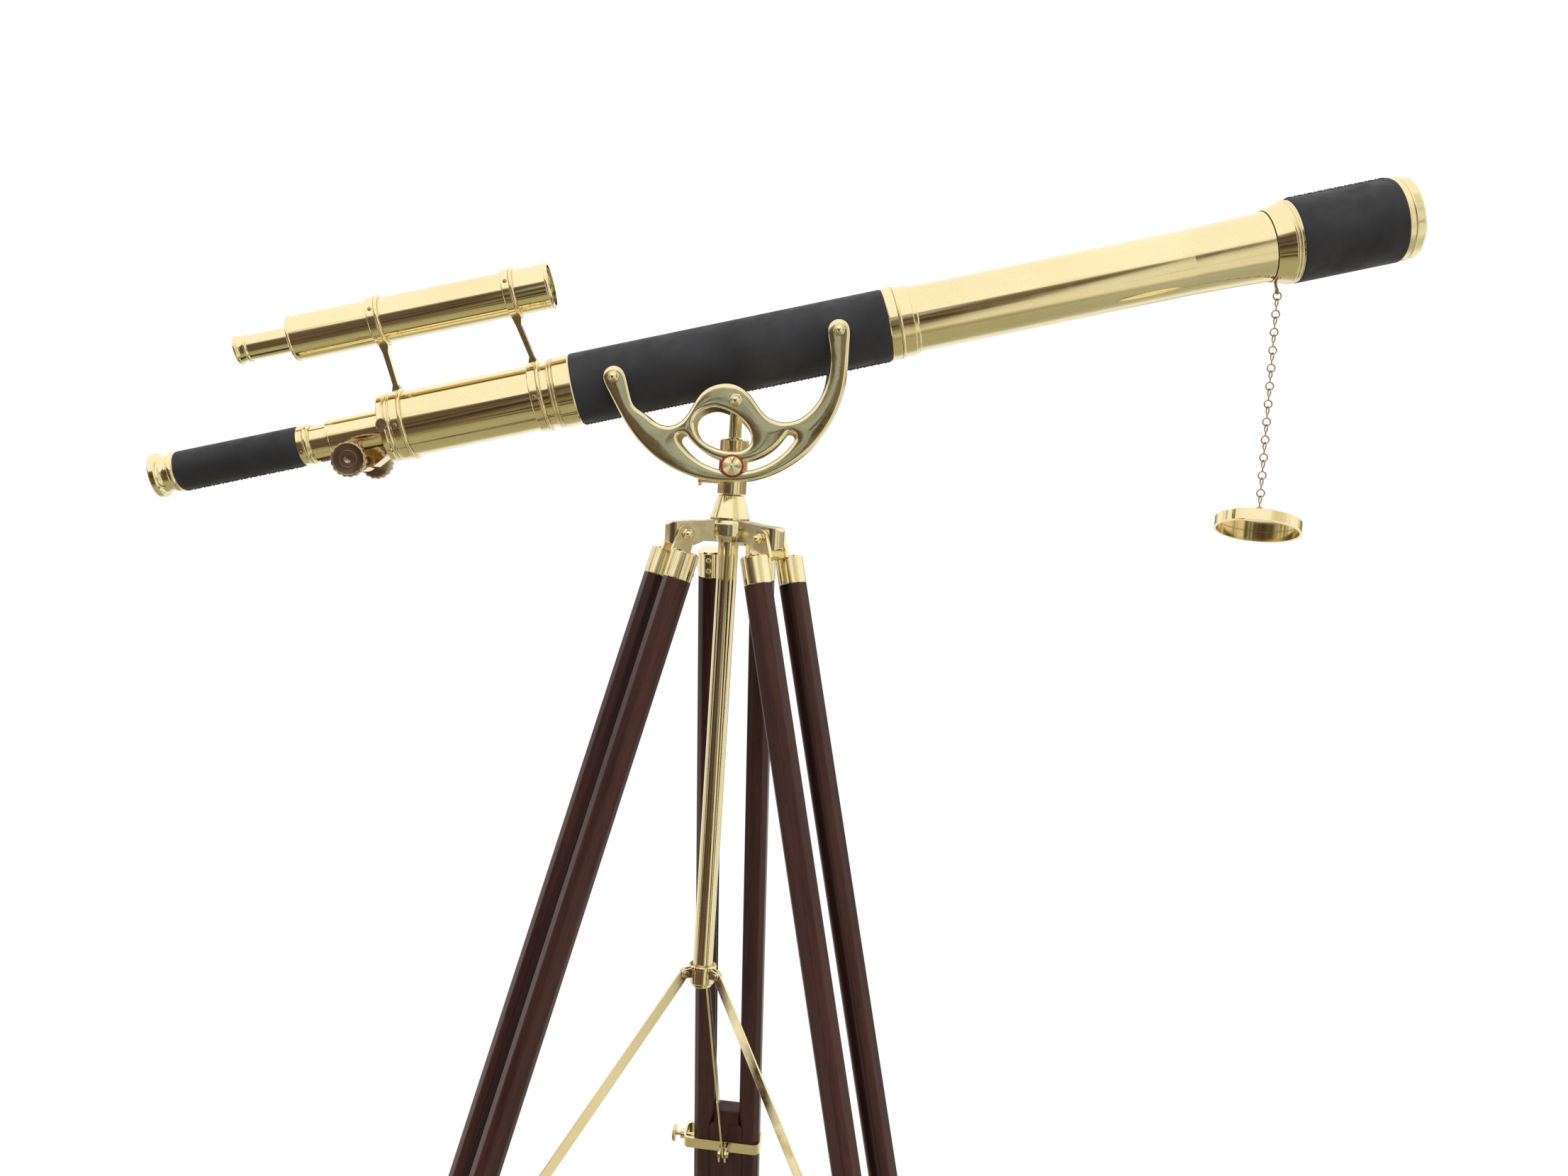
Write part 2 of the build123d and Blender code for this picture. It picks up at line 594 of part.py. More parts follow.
def lens_cap():
    """Turned cap, open downward. Its eye sits off centre, so the cap hangs with its mouth leaning to -Y."""
    body = turned_up((-4.8, 0), (-4.8, CAP_R - 0.8), (-5.0, CAP_R - 0.2, -5.6, CAP_R), (-13.2, CAP_R),
                     (-14.2, CAP_R + 0.4), (-14.2, CAP_BORE), (-6.0, CAP_BORE), (-6.0, 0))
    along = CAP_BALANCE * tan(radians(CAP_TILT))
    across = CAP_BALANCE / cos(radians(CAP_TILT)) * tan(radians(CAP_LEAN))
    eye = Pos(0, 0, -CAP_EYE_R) * Rot(0, 0, 90) * ring_of_wire(CAP_EYE_R, CAP_EYE_WIRE)
    stem = turned_up((-5.2, 0), (-5.2, 1.3), (-4.4, 1.3), (-3.6, 0.6), (-3.6, 0))
    cap = Pos(0, 0, CAP_EYE_HANG) * (Pos(along, across, 0) * body + eye + stem)
    return Pos(CHAIN_X, 0, CAP_HINGE) * Rot(-CAP_LEAN, 0, 0) * Rot(0, CAP_TILT, 0) * cap


# ---------------------------------------------------------------- saddle plates

def crescent_edges():
    """Outline of a saddle plate about the pivot: an arc below, two horns and a cam-shaped hump above."""
    side = radians(17.1)
    flank = (CRESCENT_R * cos(side), CRESCENT_RISE - CRESCENT_R * sin(side))
    tip = (HORN_STATION + HORN_R, AXIS_RISE)
    top = (HORN_STATION, AXIS_RISE + HORN_R)
    inner = (HORN_STATION - HORN_R, AXIS_RISE)
    hump = ((75.6, 12.0), (66.0, -7.6), (47.5, -22.6), (34.0, -24.4), (20.0, -16.4), (10.8, 2.9),
            (1.0, 12.6), (-11.0, 15.0), (-24.0, 11.6), (-36.0, -0.6), (-49.0, -9.2), (-62.0, -5.4),
            (-73.0, 8.0))

    def at(point):
        return point[0], 0, point[1]

    def flipped(point):
        return -point[0], point[1]

    return [
        ThreePointArc(at(flipped(flank)), (0, 0, CRESCENT_RISE - CRESCENT_R), at(flank)),
        Line(at(flank), at(tip)),
        ThreePointArc(at(tip), at(top), at(inner)),
        Spline(at(inner), *[at(point) for point in hump], at(flipped(inner)),
               tangents=[(0, 0, -1), (0, 0, 1)]),
        ThreePointArc(at(flipped(inner)), at(flipped(top)), at(flipped(tip))),
        Line(at(flipped(tip)), at(flipped(flank))),
    ]


def window_edges():
    """Rounded window under the hump; its lower side follows the slot."""
    points = ((-24.3, -1.4), (-35.4, -11.0), (-33.4, -21.4), (-25.4, -30.4), (-13.6, -36.4), (-1.6, -37.4),
              (4.6, -33.4), (5.8, -25.6), (2.4, -16.6), (-4.4, -8.6), (-13.6, -2.6))
    return [Spline(*[(u, 0, v) for u, v in points], periodic=True)]


def slot_edges():
    """Curved slot about the pivot for the clamp screw."""
    half = SLOT_WIDTH / 2

    def at(radius, angle):
        turn = radians(angle)
        return radius * sin(turn), 0, -radius * cos(turn)

    def end_arc(angle, outward):
        middle = at(SLOT_R, angle + outward * degrees(half / SLOT_R))
        return ThreePointArc(at(SLOT_R + half, angle), middle, at(SLOT_R - half, angle))

    start = -SLOT_TO_EYE
    end = SLOT_TO_OBJECTIVE
    middle = (start + end) / 2
    outer = ThreePointArc(at(SLOT_R + half, start), at(SLOT_R + half, middle), at(SLOT_R + half, end))
    inner = ThreePointArc(at(SLOT_R - half, start), at(SLOT_R - half, middle), at(SLOT_R - half, end))
    return [outer, end_arc(end, 1), inner, end_arc(start, -1)]


def saddle_plate(side):
    """Crescent plate on one side of the tube; side is -1 near and +1 far."""
    near = PLATE_INNER if side > 0 else -PLATE_INNER - PLATE_THICK
    plate = prism_y(crescent_edges(), near, near + PLATE_THICK)
    plate = plate - prism_y(window_edges(), near - 1, near + PLATE_THICK + 1)
    plate = plate - prism_y(slot_edges(), near - 1, near + PLATE_THICK + 1)
    outer_y = side * (PLATE_INNER + PLATE_THICK)
    rim = [edge for edge in plate.edges() if abs(edge.center().Y - outer_y) < 1e-3]
    plate = fillet(rim, PLATE_EDGE)
    plate = plate - rod_y(PIVOT_BOLT_R + RUNNING_GAP, -60, 60)
    for station in (-HORN_STATION, HORN_STATION):
        plate = plate - Pos(station, 0, AXIS_RISE) * rod_y(HORN_BOLT_R, -60, 60)
    return plate


def horn_bolts():
    """Acorn-headed bolts through the horn tips into the tube's wall."""
    bolts = []
    for station in (-HORN_STATION, HORN_STATION):
        for side in (-1, 1):
            face = PLATE_INNER + PLATE_THICK
            shank = turned_up((TUBE_R - 3, 0), (TUBE_R - 3, HORN_BOLT_R), (face, HORN_BOLT_R), (face, 0))
            head = Pos(0, 0, PLATE_INNER + PLATE_THICK) * acorn(8.4, 2.4, 3.2)
            bolts.append(Pos(station, 0, AXIS_RISE) * Rot(-90 * side, 0, 0) * (shank + head))
    return bolts


# ---------------------------------------------------------------- post, clamp and pan screw

def post():
    """Stepped post with a socket below and two cross bosses that reach from plate to plate."""
    reach = PLATE_INNER - 0.2
    neck = PIVOT_HEIGHT - 28
    stem = turned_up((SOCKET_BOTTOM, SPIGOT_R + RUNNING_GAP), (SOCKET_BOTTOM, SOCKET_R - 0.5),
                     (SOCKET_BOTTOM + 0.6, SOCKET_R), (SOCKET_TOP - 0.8, SOCKET_R),
                     (SOCKET_TOP, SOCKET_R - 0.9), (SOCKET_TOP, 6.0), (neck, 6.0), (neck + 1, 4.9),
                     (PIVOT_HEIGHT, 4.9), (PIVOT_HEIGHT, 0), (SPIGOT_TOP + 0.5, 0),
                     (SPIGOT_TOP + 0.5, SPIGOT_R + RUNNING_GAP))
    body = stem + Pos(0, 0, PIVOT_HEIGHT) * rod_y(6.2, -reach, reach)
    body = body + Pos(0, 0, PIVOT_HEIGHT - SLOT_R) * rod_y(5.6, -reach, reach)
    body = body - Pos(0, 0, PIVOT_HEIGHT) * rod_y(PIVOT_BOLT_R, -60, 60)
    body = body - Pos(0, 0, PIVOT_HEIGHT - SLOT_R) * rod_y(CLAMP_STUD_R + RUNNING_GAP, -60, -6)
    return body - Pos(0, 0, PAN_SCREW_HEIGHT) * rod_x(THUMB_SHAFT_R + RUNNING_GAP, -30, 0)


def pivot_bolt():
    """Tilt axle with an acorn head near and an acorn nut far."""
    end = CLAMP_FACE + 0.2
    shank = Pos(0, 0, PIVOT_HEIGHT) * rod_y(PIVOT_BOLT_R, -end, end)
    head = Pos(0, -end, PIVOT_HEIGHT) * Rot(90, 0, 0) * acorn(9.0, 2.6, 3.5)
    nut = Pos(0, end, PIVOT_HEIGHT) * Rot(-90, 0, 0) * acorn(9.0, 2.6, 3.5)
    return shank + head + nut


def clamp_washer():
    """Fibre washer between the clamp knob and the plate."""
    ring = tube_x(8.9, 3.2, CLAMP_FACE + 0.15, CLAMP_FACE + 0.15 + WASHER_THICK)
    return Pos(0, 0, PIVOT_HEIGHT - SLOT_R) * Rot(0, 0, -90) * ring


def clamp_knob():
    """Eight-sided conical knob on the stud that clamps the plate to the post."""
    base = CLAMP_FACE + 0.35 + WASHER_THICK
    stud = rod_x(CLAMP_STUD_R, 8.0, base + 1)
    rim = extrude(RegularPolygon(7.7, 8), amount=2.4)
    point = loft([Pos(0, 0, 2.4) * RegularPolygon(7.7, 8), Pos(0, 0, 8.6) * RegularPolygon(1.3, 8)])
    cone = Pos(base, 0, 0) * Rot(0, 90, 0) * (rim + point)
    return Pos(0, 0, PIVOT_HEIGHT - SLOT_R) * Rot(0, 0, -90) * (stud + cone)


def thumbscrew(tip, shoulder, head_r, head_thick):
    """Small screw along X: a shaft from its tip to its shoulder, and a thin round head past that."""
    end = shoulder + head_thick
    return turned((tip, 0), (tip, THUMB_SHAFT_R), (shoulder, THUMB_SHAFT_R), (shoulder, head_r - 0.4),
                  (shoulder + 0.4, head_r), (end - 0.4, head_r), (end, head_r - 0.4), (end, 0))


def pan_screw():
    """Thumbscrew in the side of the socket that locks the swivel."""
    return Pos(0, 0, PAN_SCREW_HEIGHT) * Rot(0, 0, 180) * thumbscrew(SPIGOT_R + 0.1, 24.0, 4.7, 2.7)


# ---------------------------------------------------------------- tripod head and rod

def swivel_cone():
    """Turned cone on the head with the spigot that the post turns on."""
    return turned_up((CONE_BOTTOM, 0), (CONE_BOTTOM, 15.4), (CONE_BOTTOM + 1.6, 15.4),
                     (CONE_TOP - 0.6, 10.5), (CONE_TOP, 9.9), (CONE_TOP, SPIGOT_R), (SPIGOT_TOP, SPIGOT_R),
                     (SPIGOT_TOP, 0))


def head_casting():
    """Three-armed casting; each arm slopes down to a block between a leg's two tabs."""
    body = turned_up((HEAD_BOTTOM, 0), (HEAD_BOTTOM, 16.0), (HINGE_HEIGHT, 18.4),
                     (CONE_BOTTOM - 3, 18.0), (CONE_BOTTOM, 16.4), (CONE_BOTTOM, 0))
    crown = CONE_BOTTOM - HINGE_HEIGHT
    root = HEAD_BOTTOM - HINGE_HEIGHT
    outline = closed_polygon((0, crown), (16.0, crown), (28.0, crown - 1.4), (40.0, 9.6), (50.0, 8.6),
                             (53.0, 6.0), (53.0, -6.5), (50.6, -8.6), (32.0, -8.6), (24.0, root), (0, root))
    one_arm = Pos(0, 0, HINGE_HEIGHT) * prism_y(outline, -BLOCK_HALF, BLOCK_HALF)
    rounding = Pos(BLOCK_HALF * 5.4, 0, HINGE_HEIGHT) * Cylinder(BLOCK_HALF + 0.4, 60)
    one_arm = one_arm & (rounding + Pos(20, 0, HINGE_HEIGHT) * Box(BLOCK_HALF * 5.4, 40, 60))
    one_arm = one_arm - Pos(HINGE_R, 0, HINGE_HEIGHT) * rod_y(HINGE_BOLT_R, -30, 30)
    for name in LEG_AZIMUTHS:
        body = body + arm(name, one_arm)
    return body - Pos(0, 0, HEAD_BOTTOM) * Cylinder(ROD_R - 1.5, 10)


def hinge_bolts():
    """Bolt through each leg's tabs, with an acorn head and an acorn nut."""
    bolts = []
    end = TAB_INNER + TAB_THICK + 0.2
    for name in LEG_AZIMUTHS:
        head = Pos(0, -end, 0) * Rot(90, 0, 0) * acorn(7.6, 2.4, 3.0)
        nut = Pos(0, end, 0) * Rot(-90, 0, 0) * acorn(7.6, 2.4, 3.0)
        bolt = rod_y(HINGE_BOLT_R, -end, end) + head + nut
        bolts.append(arm(name, Pos(HINGE_R, 0, HINGE_HEIGHT) * bolt))
    return bolts


def centre_rod():
    """Rod that hangs from the head and guides the spreader collar."""
    top = HEAD_BOTTOM
    bottom = COLLAR_PIN_HEIGHT - 12.0
    return turned_up((bottom, 0), (bottom, ROD_R - 0.8), (bottom + 0.8, ROD_R), (top, ROD_R),
                     (top, ROD_R - 1.5), (top + 5, ROD_R - 1.5), (top + 5, 0))


# ---------------------------------------------------------------- legs

def pole_outline(side):
    """Section of a pole on one side: a rounded octagon with a groove in its inner face."""
    half_w = POLE_WIDTH / 2
    section = Rectangle(POLE_DEPTH, POLE_WIDTH)
    section = chamfer(section.vertices(), POLE_CUT)
    section = fillet(section.vertices(), 1.0)
    groove = Pos(0, -half_w) * Rectangle(GROOVE_WIDTH, 2 * GROOVE_DEPTH)
    section = section - groove
    if side < 0:
        section = mirror(section, about=Plane.XZ)
    return Pos(0, side * POLE_SPACING / 2) * section


def leg_poles():
    """The two fixed poles of a leg, with round tenons in their ferrules."""
    poles = []
    shoulder = -FERRULE_TOP - FERRULE_LENGTH
    tenon = turned_up((shoulder, 0), (shoulder, TENON_R), (TENON_TOP, TENON_R), (TENON_TOP, 0))
    for side in (-1, 1):
        shaft = Pos(0, 0, -POLE_END) * extrude(pole_outline(side), amount=POLE_END + shoulder)
        poles.append(shaft + Pos(0, side * POLE_SPACING / 2, 0) * tenon)
    return poles


def leg_ferrules():
    """Brass ferrules with the flat tabs that take the hinge bolt."""
    ferrules = []
    mouth = -FERRULE_TOP - FERRULE_LENGTH
    cup = turned_up((-FERRULE_TOP, 0), (-FERRULE_TOP, FERRULE_R - 1.4), (-FERRULE_TOP - 1.4, FERRULE_R),
                    (mouth + 0.6, FERRULE_R), (mouth, FERRULE_R - 0.5), (mouth, TENON_R),
                    (TENON_TOP, TENON_R), (TENON_TOP, 0))
    tab_root = -FERRULE_TOP - 2
    tab_outline = closed_polygon((-7.6, tab_root), (-7.0, 0), (7.0, 0), (7.6, tab_root))
    for side in (-1, 1):
        near = TAB_INNER if side > 0 else -TAB_INNER - TAB_THICK
        tab = prism_y(tab_outline, near, near + TAB_THICK) + rod_y(7.0, near, near + TAB_THICK)
        tab = tab - rod_y(HINGE_BOLT_R + RUNNING_GAP, -30, 30)
        ferrules.append(Pos(0, side * POLE_SPACING / 2, 0) * cup + tab)
    return ferrules


def leg_band():
    """Brass band round both poles, longer at the thumbscrew's end, with a clevis toward the rod."""
    length = 2 * BAND_HALF + BAND_GAP
    outer = Rectangle(POLE_DEPTH + 2 * BAND_THICK, length + 2 * BAND_THICK)
    outer = fillet(outer.vertices(), 6.0)
    inner = Rectangle(POLE_DEPTH + 0.1, length + 0.1)
    inner = fillet(inner.vertices(), 4.2)
    band = Pos(0, BAND_GAP / 2, -BAND_AT - BAND_HEIGHT / 2) * extrude(outer - inner, amount=BAND_HEIGHT)
    boss = rod_y(4.4, BAND_END - 1, BAND_END + BOSS_REACH)
    screw_hole = rod_y(THUMB_SHAFT_R + RUNNING_GAP, BAND_HALF + 1, BAND_END + BOSS_REACH + 1)
    band = band + Pos(0, 0, -BAND_AT) * boss - Pos(0, 0, -BAND_AT) * screw_hole
    root = -POLE_DEPTH / 2 - BAND_THICK + 0.4
    ear_outline = closed_polygon((root, -5.4), (-CLEVIS_REACH + 3, -CLEVIS_EAR_R + 0.6),
                                 (-CLEVIS_REACH + 3, CLEVIS_EAR_R - 0.6), (root, 5.4))
    for side in (-1, 1):
        near = 1.9 if side > 0 else -1.9 - 1.8
        ear = prism_y(ear_outline, near, near + 1.8)
        ear = ear + Pos(-CLEVIS_REACH, 0, 0) * rod_y(CLEVIS_EAR_R, near, near + 1.8)
        ear = ear - Pos(-CLEVIS_REACH, 0, 0) * rod_y(CLEVIS_PIN_R, -10, 10)
        band = band + Pos(0, 0, -BAND_AT) * ear
    pin = rod_y(CLEVIS_PIN_R, -3.7, 3.7)
    for side in (-1, 1):
        head = Pos(0, side * 4.4, 0) * rod_y(3.4, -0.7, 0.7)
        pin = pin + (head - Pos(0, side * 5.1, 0) * Box(9, 0.8, 0.8))
    return [band, Pos(-CLEVIS_REACH, 0, -BAND_AT) * pin]


def slider_board():
    """Lower leg: a board whose flared edges bear on the poles, with tongues that run in their grooves."""
    inner = POLE_SPACING / 2 - POLE_WIDTH / 2
    half_gap = inner - 0.3
    half_x = POLE_DEPTH / 2 - 0.3
    flat = POLE_DEPTH / 2 - POLE_CUT + 0.12
    flare = half_gap + half_x - flat
    reach = half_gap + GROOVE_DEPTH - 0.3
    tongue = GROOVE_WIDTH / 2 - 0.3
    bottom = FLOOR_AT - FOOT_LENGTH
    core = Rectangle(2 * half_x, 2 * half_gap) + Rectangle(2 * tongue, 2 * reach)
    flared = Polygon((-half_x, -flare), (-flat, -half_gap), (flat, -half_gap), (half_x, -flare),
                     (half_x, flare), (flat, half_gap), (-flat, half_gap), (-half_x, flare), align=None)
    body = Pos(0, 0, -bottom) * extrude(core, amount=bottom - SLIDER_TOP)
    edges = Pos(0, 0, -bottom + 30) * extrude(flared, amount=bottom - 30 - SLIDER_TOP - FLANGE_DROP)
    for side in (-1, 1):
        for level, lean in ((-SLIDER_TOP - FLANGE_DROP, side * 45), (-bottom + 30, -side * 45)):
            edges = edges - Pos(0, side * (flare + 1.5), level) * Rot(lean, 0, 0) * Box(40, 6, 16)
    top = -SLIDER_TOP
    bevel = prism_y(closed_polygon((-half_x - 1, top + 1), (-half_x + 4.4, top + 1),
                                   (-half_x, top - FLANGE_DROP), (-half_x - 1, top - FLANGE_DROP)), -30, 30)
    peg = turned_up((-bottom - 30, 0), (-bottom - 30, 8.0), (-bottom, 8.0), (-bottom, 0))
    return body + edges - bevel + peg


def foot_tip(name):
    """Turned brass shoe on the lower leg, cut off flat where it meets the floor."""
    top = -FLOOR_AT + FOOT_LENGTH
    shoe = turned_up((top, 8.0), (top, 14.8), (top - 1, 15.4), (top - 5, 15.4), (top - 6, 14.2),
                     (top - 30, 11.4), (top - 34, 11.4), (top - 52, 5.8), (top - 66, 5.4), (top - 66, 0),
                     (top - 30, 0), (top - 30, 8.0))
    return leg(name, shoe) - Pos(0, 0, -100) * Box(2000, 2000, 200)


def band_screw():
    """Thumbscrew in the band's end that presses on the pole."""
    screw = thumbscrew(BAND_HALF + 0.1, BAND_END + BOSS_REACH + 4.6, 7.5, 3.0)
    return Pos(0, 0, -BAND_AT) * Rot(0, 0, 90) * screw


# ---------------------------------------------------------------- spreader

def spreader_collar():
    """Sliding collar on the rod with three pairs of lugs and their pins."""
    bore = ROD_R + RUNNING_GAP
    z = COLLAR_PIN_HEIGHT
    collar = turned_up((z - 9, bore), (z - 9, 9.4), (z - 8.2, 9.9), (z + 2.6, 9.9), (z + 3.0, 11.2),
                       (z + 5.4, 11.2), (z + 6, 10.6), (z + 6, bore))
    pins = []
    for name in LEG_AZIMUTHS:
        for near in (1.3, -1.3 - 1.6):
            lug = prism_y(closed_polygon((9.0, z - 3.6), (COLLAR_PIN_R, z - 3.4), (COLLAR_PIN_R, z + 3.4),
                                         (9.0, z + 4.4)), near, near + 1.6)
            lug = lug + Pos(COLLAR_PIN_R, 0, z) * rod_y(3.4, near, near + 1.6)
            lug = lug - Pos(COLLAR_PIN_R, 0, z) * rod_y(COLLAR_PIN_SIZE, -9, 9)
            collar = collar + arm(name, lug)
        pin = rod_y(COLLAR_PIN_SIZE, -3.1, 3.1) + rod_y(2.1, -4.0, -2.9) + rod_y(2.1, 2.9, 4.0)
        pins.append(arm(name, Pos(COLLAR_PIN_R, 0, z) * pin))
    return [collar] + pins


def brace(name):
    """Flat strip from the collar to a leg's clevis, with a round hole above and a long hole below."""
    half = BRACE_WIDTH / 2
    outline = closed_polygon((-half + 0.6, 0), (-half, -8), (-half, -BRACE_LENGTH), (half, -BRACE_LENGTH),
                             (half, -8), (half - 0.6, 0))
    strip = prism_y(outline, -BRACE_THICK / 2, BRACE_THICK / 2)
    strip = strip + rod_y(half - 0.6, -BRACE_THICK / 2, BRACE_THICK / 2)
    strip = strip + Pos(0, 0, -BRACE_LENGTH) * rod_y(half, -BRACE_THICK / 2, BRACE_THICK / 2)
    strip = strip - rod_y(COLLAR_PIN_SIZE + RUNNING_GAP, -5, 5)
    long_hole = Box(2 * BRACE_SLOT_R, 10, BRACE_SLOT_RUN)
    for end in (-BRACE_SLOT_RUN / 2, BRACE_SLOT_RUN / 2):
        long_hole = long_hole + Pos(0, 0, end) * rod_y(BRACE_SLOT_R, -5, 5)
    strip = strip - Pos(0, 0, -BRACE_LENGTH + BRACE_SLOT_RUN / 2) * long_hole
    return arm(name, Pos(COLLAR_PIN_R, 0, COLLAR_PIN_HEIGHT) * Rot(0, -BRACE_LEAN, 0) * strip)


# ---------------------------------------------------------------- assembly

def place(move, shape):
    """Applies a placement to one shape or to each of a list, and gathers the solids."""
    pieces = shape if isinstance(shape, list) else [shape]
    return Compound(children=[solid for piece in pieces for solid in move(piece).solids()])


def as_drawn(shape):
    """Placement of a shape that is already drawn where it belongs."""
    return shape


for build in (main_tube, tube_sleeve, sleeve_rings, dew_cap, dew_sleeve, objective_cell, objective_lenses,
              rear_cap, focuser_tube, focus_pinion, focus_rack, focus_knobs, draw_tube, draw_sleeve,
              draw_collar, collar_screw, eyepiece_cup, eyepiece_lenses, finder_tube, finder_eyepiece,
              finder_brackets, bracket_screws, chain_eyelet):
    parts[build.__name__] = place(telescope, build())
parts["saddle_plate_near"] = place(saddle, saddle_plate(-1))
parts["saddle_plate_far"] = place(saddle, saddle_plate(1))
parts["horn_bolts"] = place(saddle, horn_bolts())
for build in (jump_ring, cap_chain, lens_cap, post, pivot_bolt, clamp_washer, clamp_knob, pan_screw,
              swivel_cone, head_casting, hinge_bolts, centre_rod, spreader_collar):
    parts[build.__name__] = place(as_drawn, build())
for name in LEG_AZIMUTHS:
    for node, build in (("poles", leg_poles), ("ferrules", leg_ferrules), ("band", leg_band),
                        ("slider", slider_board), ("band_screw", band_screw)):
        parts[f"leg_{name}_{node}"] = place(lambda shape, at=name: leg(at, shape), build())
    parts[f"leg_{name}_foot"] = place(as_drawn, foot_tip(name))
    parts[f"brace_{name}"] = place(as_drawn, brace(name))

os.makedirs("parts", exist_ok=True)
for node, shape in parts.items():
    export_step(shape, f"parts/{node}.step")
print(len(parts), "parts")
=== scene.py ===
import json
from math import acos, atan2, cos, exp, pi, radians, sin, sqrt

import bpy
import numpy as np
from mathutils import Matrix, Quaternion, Vector
from mathutils.geometry import delaunay_2d_cdt

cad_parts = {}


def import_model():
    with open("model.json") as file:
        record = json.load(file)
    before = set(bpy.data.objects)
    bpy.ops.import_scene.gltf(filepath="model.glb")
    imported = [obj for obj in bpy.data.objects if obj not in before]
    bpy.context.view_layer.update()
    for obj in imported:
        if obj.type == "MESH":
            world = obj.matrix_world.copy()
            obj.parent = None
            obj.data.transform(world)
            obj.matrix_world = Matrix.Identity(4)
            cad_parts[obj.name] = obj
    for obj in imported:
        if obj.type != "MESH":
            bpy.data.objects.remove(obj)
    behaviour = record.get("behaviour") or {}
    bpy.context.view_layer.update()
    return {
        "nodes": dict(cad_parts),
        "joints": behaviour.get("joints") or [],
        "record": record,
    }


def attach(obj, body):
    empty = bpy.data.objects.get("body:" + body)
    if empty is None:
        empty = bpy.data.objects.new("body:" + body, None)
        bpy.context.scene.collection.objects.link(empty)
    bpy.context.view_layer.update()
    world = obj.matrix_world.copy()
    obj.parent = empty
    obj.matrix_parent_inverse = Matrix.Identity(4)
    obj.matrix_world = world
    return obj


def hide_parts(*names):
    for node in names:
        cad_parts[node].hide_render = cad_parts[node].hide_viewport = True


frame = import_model()
bpy.context.scene.view_settings.view_transform = "Standard"

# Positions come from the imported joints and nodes; sizes are the CAD model's, in millimetres.
MM = 0.001
JOINTS = {joint["name"]: joint for joint in frame["joints"]}
PIVOT = Vector(JOINTS["saddle_tilt"]["pos_m"])
TUBE_AXIS = -Vector(JOINTS["focus_slide"]["axis"])
ELEVATION = atan2(TUBE_AXIS.z, TUBE_AXIS.x)
SADDLE = Matrix.Translation(PIVOT) @ Matrix.Rotation(-ELEVATION, 4, "Y")
AXIS_RISE = 36.0
FINDER_RISE = 82.3
TUBE = SADDLE @ Matrix.Translation((0, 0, AXIS_RISE * MM))
FINDER = TUBE @ Matrix.Translation((0, 0, FINDER_RISE * MM))
UNTILT = (0, ELEVATION, 0)
PINION = Vector(JOINTS["pinion_turn"]["pos_m"])
CLAMP = Vector(JOINTS["clamp_turn"]["pos_m"])


def leg_frame(name):
    """Place of a leg's hinge, with -Z down the leg, X outward and Y along the hinge bolt."""
    hinge = Vector(JOINTS[f"leg_{name}_fold"]["pos_m"])
    down = Vector(JOINTS[f"leg_{name}_extend"]["axis"])
    turn = Matrix.Rotation(atan2(hinge.y, hinge.x), 4, "Z")
    return Matrix.Translation(hinge) @ turn @ Matrix.Rotation(-acos(-down.z), 4, "Y")


# ---------------------------------------------------------------- materials

def new_material(name):
    """A material with only its Principled shader, and that shader."""
    material = bpy.data.materials.new(name)
    material.use_nodes = True
    return material, material.node_tree.nodes["Principled BSDF"]


def add(shader, kind, settings=None, **inputs):
    """Adds a node beside the shader. An input is a value, or a socket to link; a _ in its name is a space."""
    tree = shader.id_data
    made = tree.nodes.new(kind)
    for key, value in (settings or {}).items():
        setattr(made, key, value)
    for key, value in inputs.items():
        socket = made.inputs[key.replace("_", " ")]
        if isinstance(value, bpy.types.NodeSocket):
            tree.links.new(value, socket)
        else:
            socket.default_value = value
    return made


def link(shader, source, target):
    """Links a socket to one of the shader's inputs."""
    shader.id_data.links.new(source, shader.inputs[target])


def coordinates(shader, turn=(0, 0, 0), stretch=(1, 1, 1)):
    """Object coordinates turned so that X runs along the piece, then stretched."""
    place = add(shader, "ShaderNodeTexCoord")
    level = add(shader, "ShaderNodeMapping", Vector=place.outputs["Object"], Rotation=turn)
    return add(shader, "ShaderNodeMapping", Vector=level.outputs["Vector"], Scale=stretch).outputs["Vector"]


def noise(shader, vector, scale, detail=4.0, roughness=0.5):
    """Noise at a place, about 0.5 on average."""
    made = add(shader, "ShaderNodeTexNoise", Vector=vector, Scale=scale, Detail=detail, Roughness=roughness)
    return made.outputs["Fac"]


def spread(shader, value, low, high, start=0.35, end=0.65):
    """Maps a noise value to a range."""
    made = add(shader, "ShaderNodeMapRange", Value=value)
    for key, number in (("From Min", start), ("From Max", end), ("To Min", low), ("To Max", high)):
        made.inputs[key].default_value = number
    return made.outputs["Result"]


def mix(shader, factor, first, second):
    """Goes from the first colour to the second by a factor."""
    made = add(shader, "ShaderNodeMix", {"data_type": "RGBA"})
    tree = shader.id_data
    for index, value in ((0, factor), (6, first), (7, second)):
        if isinstance(value, bpy.types.NodeSocket):
            tree.links.new(value, made.inputs[index])
        else:
            made.inputs[index].default_value = value
    return made.outputs[2]


